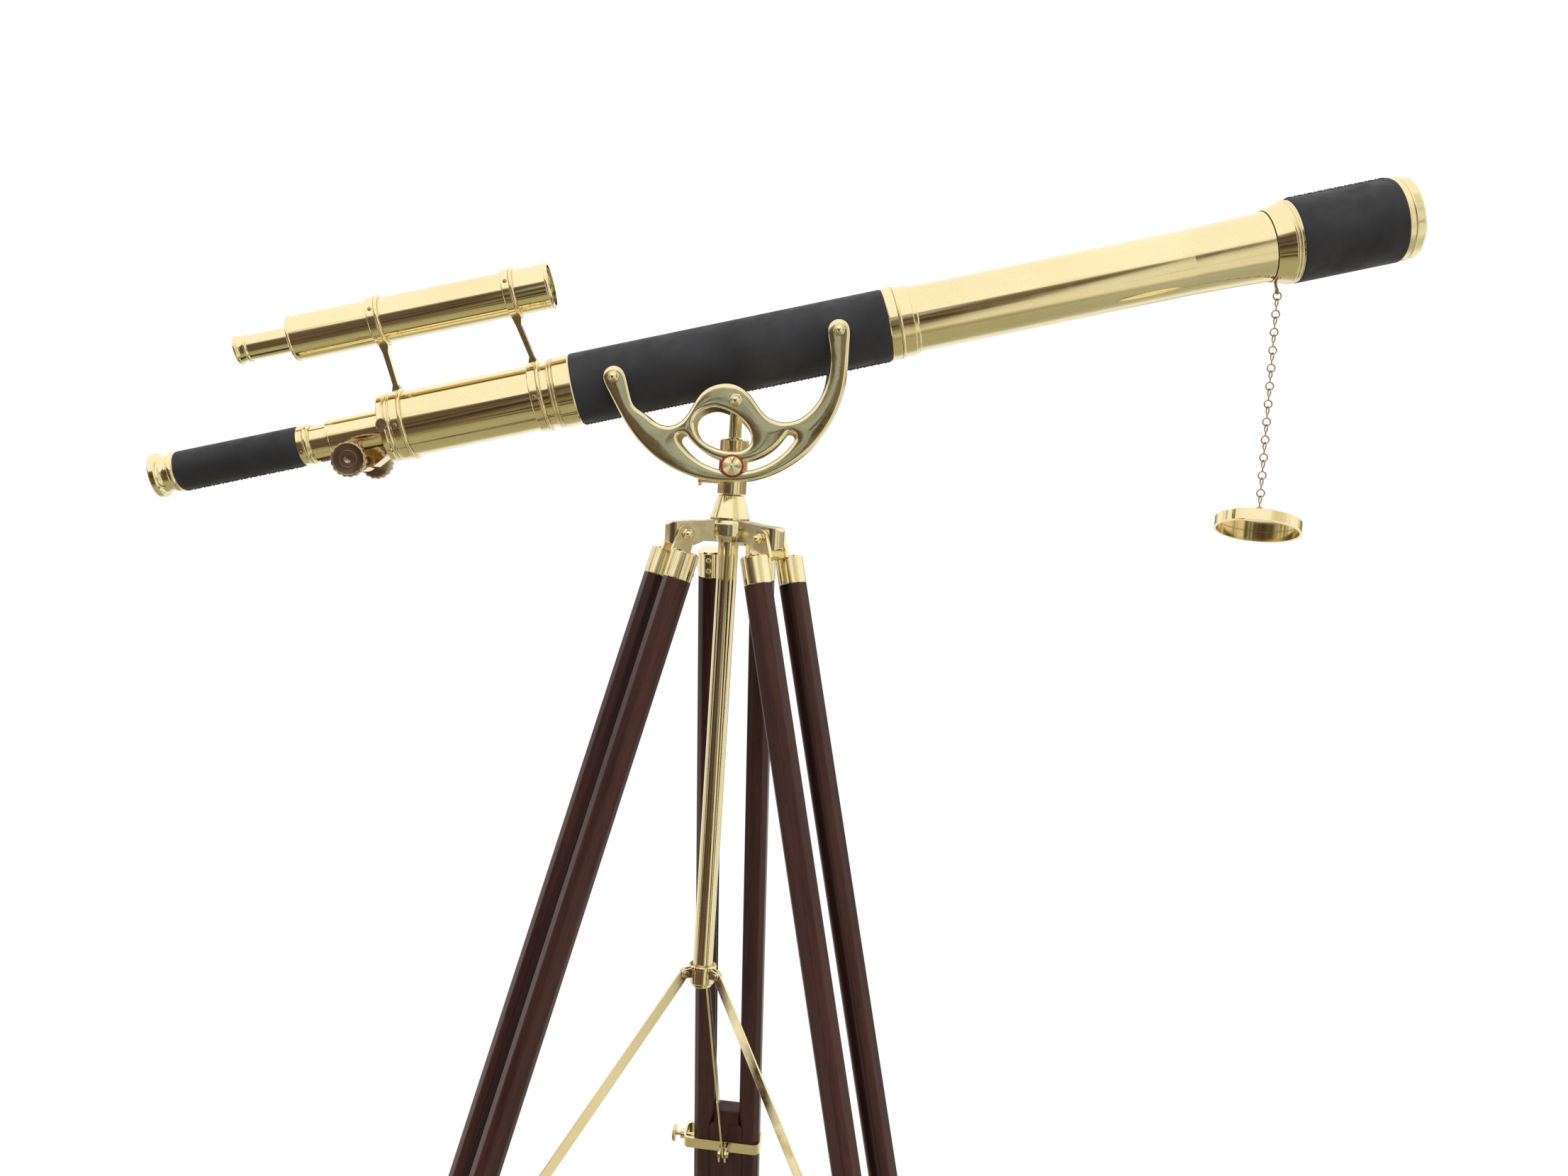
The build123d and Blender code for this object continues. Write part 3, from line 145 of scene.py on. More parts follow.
def brass(name, colour, dull, roughness, turn=(0, 0, 0), lines=(1, 1, 1), line_depth=0.0, soft=0.0):
    """Lacquered brass: clouds of tarnish, smudges in the gloss, tool lines, and painted shade that darkens
    the corners.
    """
    material, shader = new_material(name)
    place = coordinates(shader, turn)
    clouds = spread(shader, noise(shader, place, 14.0, 5.0), 0.0, 0.5)
    tone = mix(shader, clouds, (*colour, 1), (*dull, 1))
    freckles = spread(shader, noise(shader, place, 900.0, 2.0), 0.0, 0.22, 0.6, 0.72)
    tone = mix(shader, freckles, tone, (dull[0] * 0.5, dull[1] * 0.42, dull[2] * 0.35, 1))
    # Painted shade: ambient occlusion darkens the brass colour in corners and recesses.
    corner = add(shader, "ShaderNodeAmbientOcclusion", {"samples": 6}, Distance=0.003)
    corner_shade = spread(shader, corner.outputs["AO"], 0.75, 0.0, 0.2, 0.75)
    tone = mix(shader, corner_shade, tone, (dull[0] * 0.35, dull[1] * 0.25, dull[2] * 0.18, 1))
    link(shader, tone, "Base Color")
    smudge = spread(shader, noise(shader, place, 60.0, 6.0, 0.65), roughness * 0.7, roughness * 1.7)
    link(shader, smudge, "Roughness")
    shader.inputs["Metallic"].default_value = 1.0
    ripple = noise(shader, coordinates(shader, turn, lines), 1.0, 3.0)
    bump = add(shader, "ShaderNodeBump", Height=ripple, Strength=1.0, Distance=line_depth)
    if soft:
        edge = add(shader, "ShaderNodeBevel", {"samples": 6}, Radius=soft)
        shader.id_data.links.new(edge.outputs["Normal"], bump.inputs["Normal"])
    link(shader, bump.outputs["Normal"], "Normal")
    return material


def leather(name="black_leather"):
    """Black leather: a fine pebbled grain over slow wrinkles, dull and a little uneven in colour."""
    material, shader = new_material(name)
    place = coordinates(shader, UNTILT)
    patch = spread(shader, noise(shader, place, 22.0, 5.0), 0.0, 1.0)
    link(shader, mix(shader, patch, (0.021, 0.021, 0.025, 1), (0.035, 0.035, 0.041, 1)), "Base Color")
    pebble = add(shader, "ShaderNodeTexVoronoi", {"feature": "SMOOTH_F1"}, Vector=place, Scale=1300.0)
    wrinkle = noise(shader, place, 260.0, 6.0, 0.6)
    height = add(shader, "ShaderNodeMath", {"operation": "ADD"})
    shader.id_data.links.new(pebble.outputs["Distance"], height.inputs[0])
    shader.id_data.links.new(wrinkle, height.inputs[1])
    bump = add(shader, "ShaderNodeBump", Height=height.outputs[0], Strength=0.5, Distance=0.00012)
    link(shader, bump.outputs["Normal"], "Normal")
    link(shader, spread(shader, noise(shader, place, 90.0, 4.0), 0.5, 0.68), "Roughness")
    shader.inputs["Specular IOR Level"].default_value = 0.3
    return material


def thread():
    """Waxed black thread, with the lay of its twist."""
    material, shader = new_material("waxed_thread")
    place = coordinates(shader, UNTILT)
    twist = add(shader, "ShaderNodeTexWave", {"bands_direction": "DIAGONAL"}, Vector=place, Scale=900.0)
    tone = mix(shader, twist.outputs["Fac"], (0.008, 0.008, 0.009, 1), (0.02, 0.019, 0.019, 1))
    link(shader, tone, "Base Color")
    bump = add(shader, "ShaderNodeBump", Height=twist.outputs["Fac"], Strength=0.6, Distance=0.0001)
    link(shader, bump.outputs["Normal"], "Normal")
    link(shader, spread(shader, noise(shader, place, 400.0), 0.35, 0.5), "Roughness")
    return material


def wood(name, turn):
    """Dark stained hardwood under satin lacquer; the grain runs along the piece's X."""
    material, shader = new_material(name)
    streak = noise(shader, coordinates(shader, turn, (5, 90, 90)), 1.0, 8.0, 0.62)
    pore = noise(shader, coordinates(shader, turn, (60, 1800, 1800)), 1.0, 3.0)
    tone = mix(shader, spread(shader, streak, 0.0, 1.0), (0.027, 0.0095, 0.0085, 1), (0.064, 0.023, 0.018, 1))
    tone = mix(shader, spread(shader, pore, 0.0, 0.7, 0.56, 0.7), tone, (0.008, 0.003, 0.002, 1))
    edge = add(shader, "ShaderNodeBevel", {"samples": 6}, Radius=0.0022)
    link(shader, tone, "Base Color")
    link(shader, spread(shader, streak, 0.34, 0.46), "Roughness")
    shader.inputs["Specular IOR Level"].default_value = 0.18
    shader.inputs["Coat Weight"].default_value = 0.12
    shader.inputs["Coat Roughness"].default_value = 0.22
    bump = add(shader, "ShaderNodeBump", Height=pore, Strength=0.4, Distance=0.00006)
    shader.id_data.links.new(edge.outputs["Normal"], bump.inputs["Normal"])
    link(shader, bump.outputs["Normal"], "Normal")
    return material


def glass():
    """Coated optical glass."""
    material, shader = new_material("optical_glass")
    shader.inputs["Base Color"].default_value = (0.92, 0.96, 1.0, 1)
    shader.inputs["Transmission Weight"].default_value = 1.0
    shader.inputs["IOR"].default_value = 1.52
    link(shader, spread(shader, noise(shader, coordinates(shader), 120.0, 4.0), 0.0, 0.03), "Roughness")
    return material


def matt(name, first, second, scale, roughness):
    """Matt coating or fibre in two close tones, with a faint tooth."""
    material, shader = new_material(name)
    place = coordinates(shader)
    patch = noise(shader, place, scale, 4.0)
    link(shader, mix(shader, spread(shader, patch, 0.0, 1.0), (*first, 1), (*second, 1)), "Base Color")
    link(shader, spread(shader, patch, roughness * 0.85, roughness * 1.1), "Roughness")
    tooth = noise(shader, place, scale * 4)
    bump = add(shader, "ShaderNodeBump", Height=tooth, Strength=0.3, Distance=0.00005)
    link(shader, bump.outputs["Normal"], "Normal")
    return material


ALONG = (6, 900, 900)
AROUND = (6000, 8, 8)
BRASS = (0.91, 0.81, 0.51)
BRASS_DULL = (0.84, 0.70, 0.40)
CAST = (0.89, 0.81, 0.54)
CAST_DULL = (0.82, 0.72, 0.44)
BROWN = (0.50, 0.36, 0.22)
BROWN_DULL = (0.34, 0.22, 0.13)
tube_brass = brass("polished_tube", BRASS, BRASS_DULL, 0.06, UNTILT, ALONG, 0.000002)
turned_brass = brass("turned_brass", BRASS, BRASS_DULL, 0.08, UNTILT, AROUND, 0.000004, 0.0003)
plain_brass = brass("plain_brass", BRASS, BRASS_DULL, 0.09, (0, 0, 0), (200, 200, 3000), 0.000001, 0.0005)
cast_brass = brass("cast_brass", CAST, CAST_DULL, 0.10, UNTILT, (70, 70, 70), 0.00008, 0.0012)
dark_brass = brass("dark_brass", BROWN, BROWN_DULL, 0.2, UNTILT, (500, 500, 500), 0.00001, 0.0002)
black_leather = leather()
black_thread = thread()
optical_glass = glass()
red_fibre = matt("red_fibre", (0.40, 0.03, 0.02), (0.29, 0.02, 0.015), 800.0, 0.5)
matt_black = matt("matt_black", (0.006, 0.006, 0.007), (0.012, 0.011, 0.011), 200.0, 0.8)
leg_wood = {}
for name in "abc":
    down = Vector(JOINTS[f"leg_{name}_extend"]["axis"])
    grain = down.rotation_difference(Vector((1, 0, 0))).to_euler("XYZ")
    leg_wood[name] = wood(f"stained_wood_{name}", tuple(grain))

BY_SLOT = {"polished_brass": turned_brass, "cast_brass": cast_brass, "dark_brass": dark_brass,
           "black_leather": black_leather, "optical_glass": optical_glass, "red_fibre": red_fibre}
LONG_TUBES = ("main_tube", "focuser_tube", "draw_tube", "finder_tube", "finder_eyepiece")
UPRIGHT = ("centre_rod", "spreader_collar", "swivel_cone", "post", "pan_screw", "lens_cap")
for entry in frame["record"]["subparts"]:
    node = entry["node"]
    made = BY_SLOT.get(entry["material_slot"]) or leg_wood[node[4]]
    if node in LONG_TUBES:
        made = tube_brass
    elif node in UPRIGHT or node.startswith(("leg_", "brace_")) and made is turned_brass:
        made = plain_brass
    for slot in frame["nodes"][node].material_slots:
        slot.material = made


# ---------------------------------------------------------------- building pieces

def piece(name, points, faces, material, body, sharp=35.0):
    """Makes a smooth-shaded mesh piece, in metres, that rides on a body."""
    mesh = bpy.data.meshes.new(name)
    mesh.from_pydata([tuple(point) for point in points], [], faces)
    mesh.validate()
    mesh.shade_smooth()
    mesh.set_sharp_from_angle(angle=radians(sharp))
    mesh.materials.append(material)
    obj = bpy.data.objects.new(name, mesh)
    bpy.context.scene.collection.objects.link(obj)
    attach(obj, body)
    return obj


def grid_faces(rows, columns, wrap_rows=False, wrap_columns=True, start=0):
    """Faces of a grid of points stored row by row."""
    faces = []
    for i in range(rows if wrap_rows else rows - 1):
        for j in range(columns if wrap_columns else columns - 1):
            low, high = start + i * columns, start + (i + 1) % rows * columns
            faces.append((low + j, low + (j + 1) % columns, high + (j + 1) % columns, high + j))
    return faces


def lathe(outline, place, steps=144, shape=None, closed=True):
    """Points and faces turned about X from an outline of (station, radius).

    Shape, when given, changes the station and radius at each outline index and angle.
    """
    points = []
    for index, (station, radius) in enumerate(outline):
        for step in range(steps):
            angle = 2 * pi * step / steps
            u, r = shape(index, station, radius, angle) if shape else (station, radius)
            points.append(place @ (Vector((u, r * sin(angle), r * cos(angle))) * MM))
    return points, grid_faces(len(outline), steps, wrap_rows=closed)


def rounded(outline, radius, cuts=3):
    """Rounds the corners of a closed outline by up to a radius."""
    made = []
    count = len(outline)
    for index, point in enumerate(outline):
        corner = Vector(point)
        before, after = Vector(outline[index - 1]), Vector(outline[(index + 1) % count])
        size = min(radius, (before - corner).length * 0.45, (after - corner).length * 0.45)
        if size < 1e-4:
            made.append(tuple(corner))
            continue
        start = corner + (before - corner).normalized() * size
        end = corner + (after - corner).normalized() * size
        for cut in range(cuts + 1):
            t = cut / cuts
            made.append(tuple(start * (1 - t) ** 2 + corner * 2 * t * (1 - t) + end * t * t))
    return made


# ---------------------------------------------------------------- leather sleeves

SEAM_REACH = 7
ROW_STEP = 0.9
EDGE_DROP = 0.55
EDGE_RUN = 1.2
EDGE_FOOT = 0.9
WELT_AT = 1.7
WELT_WIDTH = 1.3
GROOVE = 0.5
GROOVE_WIDTH = 0.55
THREAD_R = 0.6
STITCH_REACH = 2.9
STITCH_SLANT = 0.9


def seam_offsets(radius):
    """Places round a sleeve, in millimetres from its seam: fine beside the seam, coarse elsewhere."""
    near = [SEAM_REACH / 20 * step for step in range(-20, 21)]
    rest = 2 * pi * radius - 2 * SEAM_REACH
    count = int(rest / 2.2)
    far = [SEAM_REACH + rest * (step + 1) / (count + 1) for step in range(count)]
    return near + far


def sleeve(node, body, radius, inner, rear, front, seam, pitch, puff):
    """Leather wrapped round a tube. Its edges meet in a puckered seam that is whipped with thread."""
    offsets = seam_offsets(radius)
    length = front - rear
    rows = int(length / ROW_STEP)
    stations = [rear, rear] + [rear + length * row / rows for row in range(rows + 1)] + [front, front]
    points = []
    for index, u in enumerate(stations):
        edge = min(u - rear, front - u)
        drop = EDGE_DROP * (1 - sqrt(max(0.0, 1 - (1 - min(edge / EDGE_RUN, 1.0)) ** 2)))
        for offset in offsets:
            pull = 0.5 + 0.5 * cos(2 * pi * (u - rear) / pitch)
            beside = 1.0 if abs(offset) < SEAM_REACH else 0.0
            welt = beside * puff * exp(-((abs(offset) - WELT_AT) / WELT_WIDTH) ** 2) * (1 - 0.75 * pull)
            groove = beside * GROOVE * exp(-(offset / GROOVE_WIDTH) ** 2)
            r = radius - drop + welt - groove
            if index == 0 or index == len(stations) - 1:
                r = inner
            elif index == 1 or index == len(stations) - 2:
                r = radius - EDGE_FOOT
            angle = seam + offset / radius
            points.append(TUBE @ (Vector((u, r * sin(angle), r * cos(angle))) * MM))
    faces = grid_faces(len(stations), len(offsets))
    made = piece(node + "_leather", points, faces, black_leather, body, 60)
    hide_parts(node)
    whip(node + "_thread", body, radius, rear, front, seam, pitch, puff)


def whip(name, body, radius, rear, front, seam, pitch, puff):
    """Slanting stitches of thread over a sleeve's seam, one in each pucker."""
    points, faces = [], []
    sides, turns = 6, 9
    count = int((front - rear) / pitch)
    for stitch in range(count):
        middle = rear + pitch * (stitch + 0.02)
        if middle - rear < 2.0:
            continue
        start = len(points)
        for turn in range(turns):
            t = turn / (turns - 1) * 2 - 1
            angle = seam + STITCH_REACH * t / radius
            r = radius + puff * 0.4 + 0.3 - 1.3 * t ** 4
            centre = Vector((middle + STITCH_SLANT * t, r * sin(angle), r * cos(angle)))
            out = Vector((0, sin(angle), cos(angle)))
            for side in range(sides):
                around = 2 * pi * side / sides
                offset = Vector((1, 0, 0)) * cos(around) + out * sin(around)
                points.append(TUBE @ ((centre + offset * THREAD_R) * MM))
        faces += grid_faces(turns, sides, start=start)
    piece(name, points, faces, black_thread, body)


sleeve("tube_sleeve", "telescope", radius=27.7, inner=25.5, rear=-120.55, front=126.15,
       seam=pi - 0.06, pitch=5.6, puff=1.1)
sleeve("dew_sleeve", "telescope", radius=32.6, inner=31.05, rear=447.35, front=528.55,
       seam=-0.16, pitch=8.0, puff=1.1)
sleeve("draw_sleeve", "draw", radius=15.4, inner=13.3, rear=-436.55, front=-339.55,
       seam=pi - 0.1, pitch=7.4, puff=0.9)


# ---------------------------------------------------------------- saddle plates

PLATE_INNER = 29.0
PLATE_EDGE = 2.2
ROLL = 2.4
ROLL_HEIGHT = 2.0
PILLOW = 15.0
PILLOW_HEIGHT = 0.8
RIM_STEP = 1.1
KINK = 4.0
FIELD_STEP = 1.5
FIELD_INSET = 3.7
WIDEST_HOLE = 12
LONGEST_OPENING = 120


def flat_outlines(node):
    """Outlines of a plate's flat inner face, in millimetres along and above the saddle, less bolt holes."""
    obj = frame["nodes"][node]
    back = SADDLE.inverted()
    where = [back @ (obj.matrix_world @ vertex.co) / MM for vertex in obj.data.vertices]
    keys = [(round(place.x, 3), round(place.z, 3)) for place in where]
    after = {}
    sides = set()
    for polygon in obj.data.polygons:
        corners = list(polygon.vertices)
        if all(abs(abs(where[corner].y) - PLATE_INNER) < 0.01 for corner in corners):
            for first, second in zip(corners, corners[1:] + corners[:1]):
                sides.add((keys[first], keys[second]))
    for first, second in sides:
        if (second, first) not in sides:
            after[first] = second
    loops = []
    while after:
        start, step = after.popitem()
        loop = [start]
        while step != start:
            loop.append(step)
            step = after.pop(step)
        loops.append(np.array(loop))
    return [loop for loop in loops if np.ptp(loop[:, 0]) > WIDEST_HOLE]


def resampled(loop, spacing):
    """The same closed outline with evenly spaced points."""
    closed = np.vstack([loop, loop[:1]])
    run = np.concatenate([[0], np.cumsum(np.hypot(*np.diff(closed, axis=0).T))])
    at = np.linspace(0, run[-1], int(run[-1] / spacing) + 1)[:-1]
    return np.column_stack([np.interp(at, run, closed[:, 0]), np.interp(at, run, closed[:, 1])])


def eased(loop, spacing, reach):
    """The same closed outline with kinks shorter than a reach smoothed away."""
    width = int(3 * reach / spacing)
    steps = np.arange(-width, width + 1)
    weights = np.exp(-0.5 * (steps * spacing / reach) ** 2)
    weights /= weights.sum()
    return sum(weight * np.roll(loop, step, axis=0) for step, weight in zip(steps, weights))


def distance_inside(points, loops):
    """Distance from each point to the nearest outline, negative outside the plate."""
    nearest = np.full(len(points), 1e9)
    inside = np.zeros(len(points), bool)
    px, py = points[:, 0], points[:, 1]
    for loop in loops:
        for (ax, ay), (bx, by) in zip(loop, np.roll(loop, -1, axis=0)):
            dx, dy = bx - ax, by - ay
            t = np.clip(((px - ax) * dx + (py - ay) * dy) / (dx * dx + dy * dy), 0, 1)
            nearest = np.minimum(nearest, np.hypot(px - ax - t * dx, py - ay - t * dy))
            crosses = (ay > py) != (by > py)
            if ay != by:
                inside ^= crosses & (px < ax + (py - ay) * dx / (by - ay))
    return np.where(inside, nearest, -nearest)


def casting(node):
    """A saddle plate with a crowned face whose edges roll over softly, as cast and polished.

    Only the plate's outer outline is eased; the openings keep the shape that the CAD gives them.
    """
    side = -1 if node.endswith("near") else 1
    loops = []
    for loop in flat_outlines(node):
        loop = resampled(loop, RIM_STEP)
        loops.append(eased(loop, RIM_STEP, KINK) if np.ptp(loop[:, 0]) > LONGEST_OPENING else loop)
    rim = np.vstack(loops)
    chosen = [rim]
    for inset in (0.12, 0.35, 0.7, 1.2, 1.9, 2.8):
        ring = []
        for loop in loops:
            along = np.roll(loop, -1, axis=0) - np.roll(loop, 1, axis=0)
            across = np.column_stack([-along[:, 1], along[:, 0]]) / np.hypot(*along.T)[:, None]
            ring += [loop + across * inset, loop - across * inset]
        ring = np.vstack(ring)
        chosen.append(ring[np.abs(distance_inside(ring, loops) - inset) < 0.04 + 0.04 * inset])
    low, high = rim.min(axis=0), rim.max(axis=0)
    columns = np.arange(low[0], high[0], FIELD_STEP)
    lines = np.arange(low[1], high[1], FIELD_STEP)
    field = np.stack(np.meshgrid(columns, lines), -1).reshape(-1, 2)
    chosen.append(field[distance_inside(field, loops) > FIELD_INSET])
    edges, start = [], 0
    for loop in loops:
        edges += [(start + i, start + (i + 1) % len(loop)) for i in range(len(loop))]
        start += len(loop)
    flat = [Vector(point) for point in np.vstack(chosen)]
    flat, _, triangles, *_ = delaunay_2d_cdt(flat, edges, [], 0, 1e-5)
    flat = np.array([tuple(point) for point in flat])
    middles = np.array([flat[list(triangle)].mean(axis=0) for triangle in triangles])
    keep = distance_inside(middles, loops) > 0
    triangles = [triangle for triangle, kept in zip(triangles, keep) if kept]
    depth = distance_inside(flat, loops)
    roll = ROLL_HEIGHT * np.sqrt(1 - (1 - np.clip(depth / ROLL, 0, 1)) ** 2)
    height = PLATE_EDGE + roll + PILLOW_HEIGHT * (1 - (1 - np.clip(depth / PILLOW, 0, 1)) ** 2)
    count = len(flat)
    points = [SADDLE @ (Vector((x, side * (PLATE_INNER + h), z)) * MM) for (x, z), h in zip(flat, height)]
    points += [SADDLE @ (Vector((x, side * PLATE_INNER, z)) * MM) for x, z in flat]
    faces = []
    for a, b, c in triangles:
        faces += [(a, b, c), (count + c, count + b, count + a)]
    sides = {(t[i], t[(i + 1) % 3]) for t in triangles for i in range(3)}
    faces += [(b, a, count + a, count + b) for a, b in sides if (b, a) not in sides]
    made = piece(node + "_casting", points, faces, cast_plate, "telescope", 50)
    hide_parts(node)


cast_plate = brass("cast_plate", CAST, CAST_DULL, 0.09, UNTILT, (45, 45, 45), 0.00012)
casting("saddle_plate_near")
casting("saddle_plate_far")


# ---------------------------------------------------------------- knobs

FLUTES = 18
FLUTE_DEPTH = 0.75
FLUTED_FROM = 11.6
CLAMP_SIDES = 8
KNURLS = 36
KNURL_DEPTH = 0.22


def fluted_knob(name, side):
    """Brown focus knob: a scalloped rim, a stepped face with turned rings, and a centre dimple."""
    place = Matrix.Translation(PINION) @ Matrix.Rotation(side * pi / 2, 4, "Z")
    outline = rounded([(29.2, 2.5), (29.2, 4.4), (31.8, 4.7), (32.6, 11.2), (33.6, 13.1), (36.2, 13.6),
                       (39.8, 13.5), (40.9, 12.4), (40.7, 11.4), (40.5, 7.0), (40.6, 6.4), (40.5, 5.8),
                       (40.5, 2.6), (40.1, 1.6), (40.0, 0.0), (36.0, 0.0)], 0.5, 2)

    def scallop(index, station, radius, angle):
        if radius < FLUTED_FROM:
            return station, radius
        wave = abs(sin(angle * FLUTES / 2)) ** 1.6
        return station, radius - FLUTE_DEPTH * (1 - wave) * min((radius - FLUTED_FROM) / 1.2, 1.0)

    points, faces = lathe(outline, place, 216, scallop)
    return piece(name, points, faces, knob_brass, "pinion", 40)


knob_brass = brass("knob_brass", (0.55, 0.42, 0.30), (0.36, 0.26, 0.18), 0.16, UNTILT, (300, 300, 300),
                   0.00003)
near_knob = fluted_knob("focus_knob_near", -1)
fluted_knob("focus_knob_far", 1)
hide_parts("focus_knobs")


def clamp_point():
    """Clamp knob: a round rim and an eight-sided point, on its stud."""
    place = Matrix.Translation(CLAMP) @ Matrix.Rotation(-pi / 2, 4, "Z")
    outline = rounded([(-26.0, 0.0), (-26.0, 3.0), (1.5, 3.0), (1.5, 7.0), (1.9, 7.4), (3.4, 7.4),
                       (3.9, 7.1)], 0.25, 2)
    outline += [(4.0, 7.1), (9.3, 1.6), (9.9, 1.1), (10.1, 0.0)]

    def facet(index, station, radius, angle):
        if station < 3.95 or radius < 0.5:
            return station, radius
        half = pi / CLAMP_SIDES
        away = (angle + half) % (2 * half) - half
        return station, radius * cos(half) / cos(away)

    points, faces = lathe(outline, place, 144, facet)
    made = piece("clamp_point", points, faces, cast_brass, "clamp", 14)
    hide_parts("clamp_knob")


clamp_point()


def knurled_head(name, place, body, shoulder, radius, thick):
    """Straight knurling pressed round a thumbscrew's head."""
    low, high = shoulder - 0.02, shoulder + thick + 0.02
    outline = rounded([(low, radius - 1.6), (low, radius - 0.2), (low + 0.32, radius + 0.25),
                       (high - 0.32, radius + 0.25), (high, radius - 0.2), (high, radius - 1.6)], 0.15, 2)

    def knurl(index, station, r, angle):
        return station, r - (KNURL_DEPTH * (0.5 + 0.5 * cos(angle * KNURLS)) if r > radius else 0.0)

    points, faces = lathe(outline, place, 288, knurl, closed=False)
    piece(name, points, faces, plain_brass, body, 30)


BAND_DROP = 602.0
for name in "abc":
    head = leg_frame(name) @ Matrix.Translation((0, 0, -BAND_DROP * MM)) @ Matrix.Rotation(pi / 2, 4, "Z")
    knurled_head(f"leg_{name}_thumb_rim", head, f"leg_{name}_screw", 49.4, 7.5, 3.0)


# ---------------------------------------------------------------- small screws and linings

def slotted_screw(place, radius, rise, turn):
    """Points and faces of a domed screw head with a slot, standing along the place's Z."""
    rings, steps = 9, 48
    points = []
    for ring in range(rings):
        t = 1 - ring / (rings - 1)
        for step in range(steps):
            angle = 2 * pi * step / steps
            x, y = radius * t * cos(angle), radius * t * sin(angle)
            across = abs(x * sin(turn) - y * cos(turn))
            slot = 0.5 * rise if across < 0.16 * radius else 0.0
            height = -0.3 if ring == 0 else rise * sqrt(1 - 0.85 * t * t) - slot
            points.append(place @ (Vector((x, y, height)) * MM))
    return points, grid_faces(rings, steps)


def screws(name, places, body, radius, rise):
    """One piece of several slotted screws, each slot at its own angle."""
    points, faces = [], []
    for index, place in enumerate(places):
        more, joined = slotted_screw(place, radius, rise, 0.5 + 1.9 * index)
        faces += [tuple(corner + len(points) for corner in face) for face in joined]
        points += more
    piece(name, points, faces, plain_brass, body, 30)


POLE_OFFSET = 21.5
FERRULE_FACE = -10.75
for name in "abc":
    places = []
    for side in (-1, 1):
        for drop in (20.5, 29.5):
            spot = Matrix.Translation(Vector((FERRULE_FACE, side * POLE_OFFSET, -drop)) * MM)
            places.append(leg_frame(name) @ spot @ Matrix.Rotation(-pi / 2, 4, "Y"))
    screws(f"leg_{name}_ferrule_screws", places, f"leg_{name}_upper", 2.3, 1.0)


def lining(name, outline, place, body):
    """Thin blackened lining inside a tube; the same builds the dark ring of painted shadow in the seam's
    groove.
    """
    points, faces = lathe(outline, place, 96)
    piece(name, points, faces, matt_black, body, 30)


lining("dew_lining", [(462.2, 29.35), (462.2, 29.55), (539.0, 29.55), (539.0, 29.35)], TUBE, "telescope")
lining("tube_lining", [(-250.0, 22.2), (-250.0, 22.35), (440.0, 23.8), (440.0, 23.6)], TUBE, "telescope")
# Matt black ring in the groove at the cone's seam: a painted shadow line.
lining("seam_shadow", [(427.6, 26.0), (427.6, 26.9), (428.3, 26.9), (428.3, 26.0)], TUBE, "telescope")
lining("finder_lining", [(-324.0, 15.55), (-324.0, 15.75), (-131.5, 15.75), (-131.5, 15.55)], FINDER,
       "telescope")
lining("eye_stop", [(-446.5, 0.0), (-446.5, 11.3), (-445.8, 11.3), (-445.8, 0.0)], TUBE, "draw")


# ---------------------------------------------------------------- floor, light and camera

def floor():
    """Pale matt floor under the stand, fading out at its edge; in glossy rays it turns dark olive, a painted
    reflection on the brass.
    """
    bpy.ops.mesh.primitive_circle_add(vertices=128, radius=1.5, fill_type="NGON")
    plane = bpy.context.object
    plane.name = "floor"
    material, shader = new_material("pale_floor")
    tint = spread(shader, noise(shader, coordinates(shader), 3.0, 3.0), 0.0, 1.0)
    pale = mix(shader, tint, (0.70, 0.69, 0.675, 1), (0.75, 0.74, 0.725, 1))
    # Painted reflection: glossy rays see the floor dark olive instead of pale.
    mirrored = add(shader, "ShaderNodeLightPath").outputs["Is Glossy Ray"]
    link(shader, mix(shader, mirrored, pale, (0.30, 0.285, 0.19, 1)), "Base Color")
    shader.inputs["Roughness"].default_value = 0.75
    reach = add(shader, "ShaderNodeVectorMath", {"operation": "LENGTH"}, Vector=coordinates(shader))
    link(shader, spread(shader, reach.outputs["Value"], 1.0, 0.0, 0.75, 1.45), "Alpha")
    plane.data.materials.append(material)


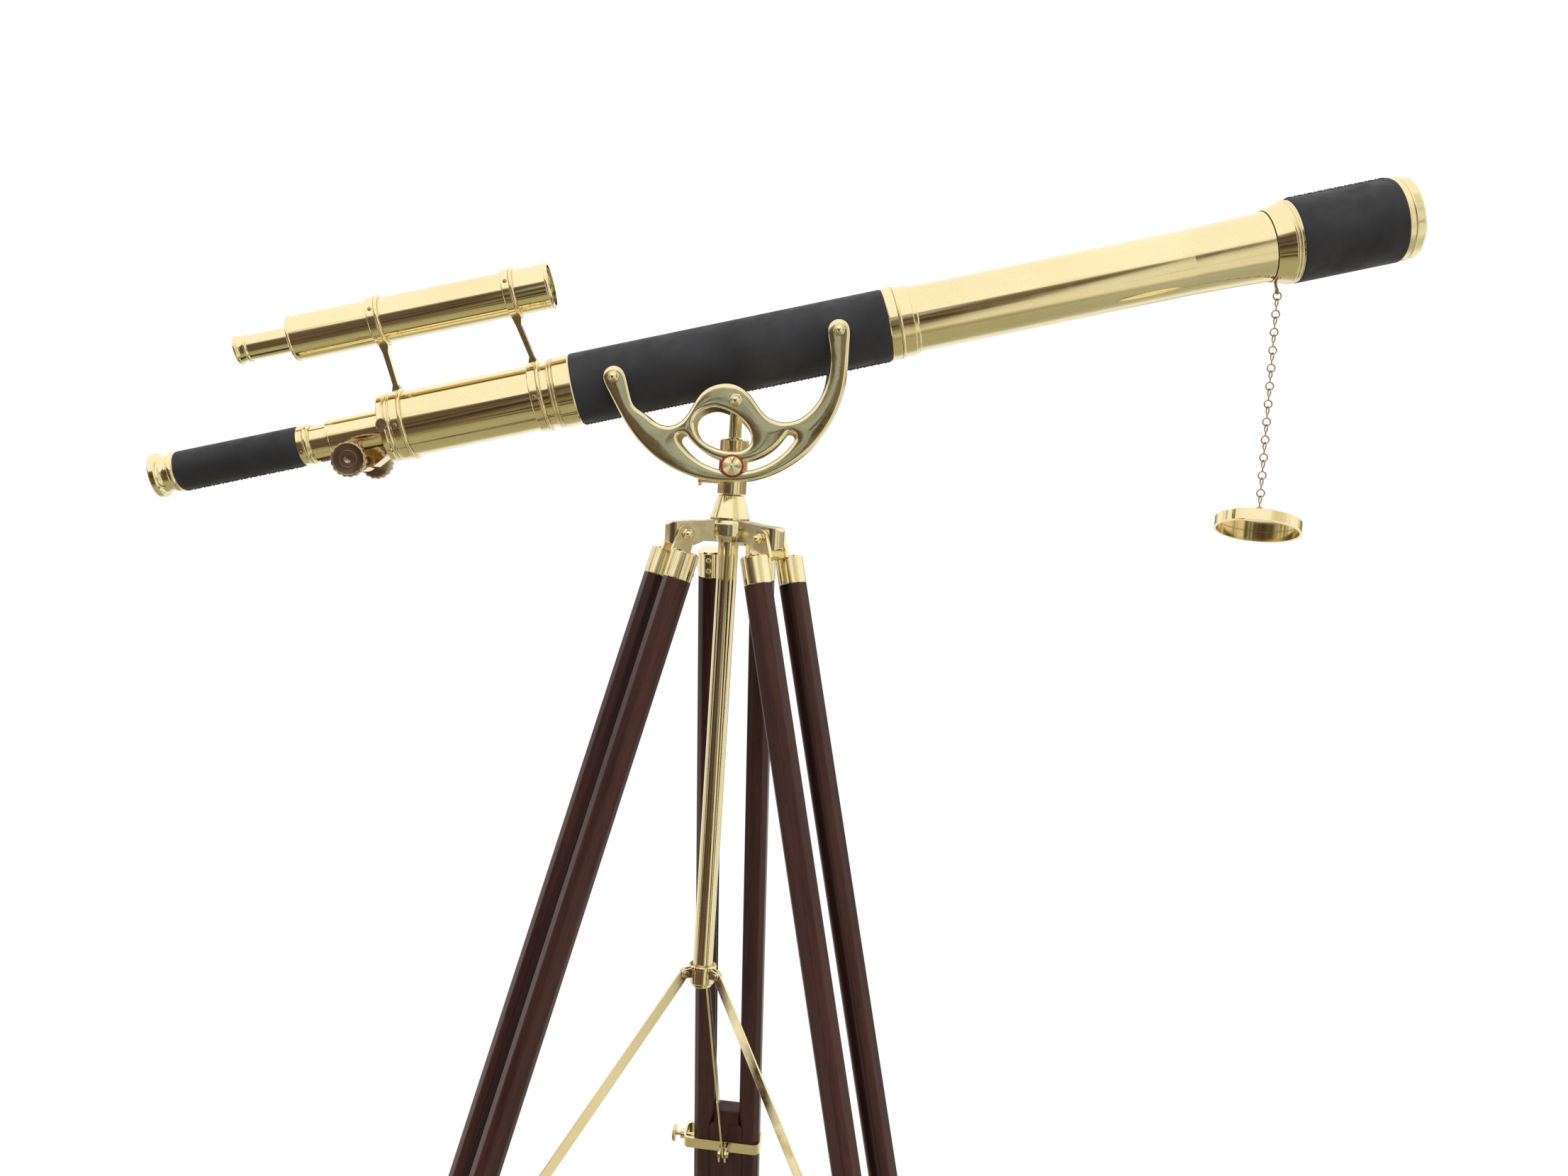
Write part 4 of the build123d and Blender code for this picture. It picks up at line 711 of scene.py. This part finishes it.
class Sky:
    """World nodes that colour a direction."""

    def __init__(self):
        made = bpy.data.worlds.new("studio")
        bpy.context.scene.world = made
        made.use_nodes = True
        self.tree = made.node_tree
        self.background = self.tree.nodes["Background"]
        place = self.tree.nodes.new("ShaderNodeTexCoord")
        self.direction = place.outputs["Generated"]
        self.parts = self.tree.nodes.new("ShaderNodeSeparateXYZ")
        self.tree.links.new(self.direction, self.parts.inputs[0])

    def between(self, source, start, end):
        """Rises smoothly from 0 to 1 as the source goes from start to end."""
        node = self.tree.nodes.new("ShaderNodeMapRange")
        node.interpolation_type = "SMOOTHSTEP"
        self.tree.links.new(source, node.inputs["Value"])
        node.inputs["From Min"].default_value = start
        node.inputs["From Max"].default_value = end
        return node.outputs["Result"]

    def math(self, operation, *values):
        """A maths node on sockets and numbers."""
        node = self.tree.nodes.new("ShaderNodeMath")
        node.operation = operation
        for socket, value in zip(node.inputs, values):
            if isinstance(value, bpy.types.NodeSocket):
                self.tree.links.new(value, socket)
            else:
                socket.default_value = value
        return node.outputs[0]

    def mix(self, factor, first, second):
        """Goes from the first colour to the second by a factor."""
        node = self.tree.nodes.new("ShaderNodeMix")
        node.data_type = "RGBA"
        for index, value in ((0, factor), (6, first), (7, second)):
            if isinstance(value, bpy.types.NodeSocket):
                self.tree.links.new(value, node.inputs[index])
            else:
                node.inputs[index].default_value = value
        return node.outputs[2]

    def ramp(self, source, stops):
        """A colour for each value from -1 to 1."""
        node = self.tree.nodes.new("ShaderNodeValToRGB")
        self.tree.links.new(self.from_zero(source), node.inputs["Fac"])
        while len(node.color_ramp.elements) < len(stops):
            node.color_ramp.elements.new(0.5)
        for element, (at, colour) in zip(node.color_ramp.elements, stops):
            element.position = (at + 1) / 2
            element.color = (*colour, 1)
        return node.outputs["Color"]

    def from_zero(self, source):
        """Maps -1 to 1 onto 0 to 1."""
        node = self.tree.nodes.new("ShaderNodeMapRange")
        self.tree.links.new(source, node.inputs["Value"])
        node.inputs["From Min"].default_value = -1.0
        return node.outputs["Result"]

    def noise(self, stretch, scale):
        """Noise over the directions, stretched along some of them."""
        place = self.tree.nodes.new("ShaderNodeMapping")
        place.inputs["Scale"].default_value = stretch
        self.tree.links.new(self.direction, place.inputs["Vector"])
        node = self.tree.nodes.new("ShaderNodeTexNoise")
        node.inputs["Scale"].default_value = scale
        node.inputs["Detail"].default_value = 2.0
        self.tree.links.new(place.outputs["Vector"], node.inputs["Vector"])
        return node.outputs["Fac"]


def world():
    """Studio round the object: bright above, behind and to the right, brown and olive on the near side."""
    sky = Sky()
    x, y, z = sky.parts.outputs
    white = (1.12, 1.10, 1.04)
    brown = (0.13, 0.090, 0.070)
    front = sky.ramp(z, ((-1.0, (0.34, 0.33, 0.21)), (-0.93, (0.62, 0.60, 0.45)), (-0.88, (0.30, 0.28, 0.17)),
                         (-0.72, (0.27, 0.24, 0.14)), (-0.66, brown), (-0.30, (0.17, 0.115, 0.085)),
                         (-0.05, brown), (0.12, (0.15, 0.105, 0.08)), (0.20, (0.24, 0.19, 0.13)),
                         (0.25, (0.5, 0.44, 0.33)), (0.28, white), (1.0, white)))
    rear = sky.ramp(z, ((-1.0, (0.34, 0.35, 0.26)), (-0.75, (0.5, 0.5, 0.42)), (-0.55, (1.0, 0.98, 0.92)),
                        (-0.06, (0.95, 0.93, 0.88)), (-0.02, (0.34, 0.27, 0.2)), (0.05, (0.36, 0.3, 0.22)),
                        (0.10, white), (1.0, white)))
    low = sky.between(z, 0.26, 0.18)
    olive = sky.math("MULTIPLY", sky.between(x, -0.10, 0.02), low)
    front = sky.mix(sky.math("MULTIPLY", olive, 0.7), front, (0.36, 0.31, 0.17, 1))
    cream = sky.math("MULTIPLY", sky.between(x, 0.17, 0.36), sky.between(z, -0.80, -0.62))
    front = sky.mix(cream, front, (0.86, 0.82, 0.69, 1))
    colour = sky.mix(sky.between(y, -0.52, -0.34), front, rear)
    side = sky.between(sky.math("ABSOLUTE", sky.math("ADD", x, -0.19)), 0.09, 0.05)
    side = sky.math("MULTIPLY", side, sky.between(sky.math("ABSOLUTE", sky.math("ADD", z, 0.12)), 0.34, 0.26))
    front_side = sky.math("MULTIPLY", side, sky.between(y, -0.5, -0.7))
    colour = sky.mix(sky.math("MULTIPLY", front_side, 0.8), colour, (0.16, 0.10, 0.075, 1))
    patch = sky.math("MULTIPLY", sky.between(sky.math("ABSOLUTE", x), 0.13, 0.10), sky.between(y, -0.5, -0.7))
    height = sky.math("ABSOLUTE", sky.math("ADD", z, -0.02))
    patch = sky.math("MULTIPLY", patch, sky.between(height, 0.26, 0.14))
    colour = sky.mix(patch, colour, (0.42, 0.47, 0.44, 1))
    bars = sky.between(sky.noise((1, 1, 0.12), 5.0), 0.52, 0.60)
    level = sky.between(sky.math("ABSOLUTE", z), 0.5, 0.2)
    bars = sky.math("MULTIPLY", sky.math("MULTIPLY", bars, level), 0.6)
    colour = sky.mix(bars, colour, (0.13, 0.095, 0.065, 1))
    streaks = sky.between(sky.noise((0.35, 0.35, 1), 13.0), 0.50, 0.56)
    band = sky.between(sky.math("ABSOLUTE", sky.math("ADD", z, 0.35)), 0.50, 0.40)
    band = sky.math("MULTIPLY", band, sky.between(y, -0.25, -0.45))
    band = sky.math("MULTIPLY", band, sky.between(x, 0.34, 0.16))
    streaks = sky.math("MULTIPLY", sky.math("MULTIPLY", streaks, band), 0.95)
    colour = sky.mix(streaks, colour, (0.045, 0.035, 0.018, 1))
    seen = sky.tree.nodes.new("ShaderNodeLightPath")
    colour = sky.mix(seen.outputs["Is Camera Ray"], colour, (1.0, 1.0, 1.0, 1))
    sky.tree.links.new(colour, sky.background.inputs["Color"])


def soft_light(name, where, size, power):
    """Large soft light that shades the object without showing in its gloss."""
    data = bpy.data.lights.new(name, "AREA")
    data.shape = "RECTANGLE"
    data.size, data.size_y = size
    data.energy = power
    lamp = bpy.data.objects.new(name, data)
    bpy.context.scene.collection.objects.link(lamp)
    lamp.location = where
    lamp.rotation_euler = (PIVOT - Vector(where)).to_track_quat("-Z", "Y").to_euler()
    lamp.visible_glossy = False


def camera():
    """Camera at the height of the stand's head, close in front, looking slightly down and rolled."""
    yaw, pitch, roll = radians(0.82), radians(3.43), radians(3.65)
    data = bpy.data.cameras.new("camera")
    data.lens = 31.8
    data.sensor_width = 36.0
    data.clip_start = 0.02
    cam = bpy.data.objects.new("camera", data)
    bpy.context.scene.collection.objects.link(cam)
    cam.location = PIVOT + Vector((0.0302, -1.0908, -0.0768))
    forward = Vector((sin(yaw) * cos(pitch), cos(yaw) * cos(pitch), -sin(pitch)))
    cam.rotation_mode = "QUATERNION"
    cam.rotation_quaternion = forward.to_track_quat("-Z", "Y") @ Quaternion((0, 0, 1), roll)
    bpy.context.scene.camera = cam


floor()
world()
soft_light("key", (-1.6, -2.2, 3.4), (2.4, 1.6), 45)
soft_light("fill", (2.4, -1.4, 2.2), (1.6, 1.6), 20)
soft_light("back", (0.6, 2.6, 2.8), (2.4, 1.2), 30)
camera()
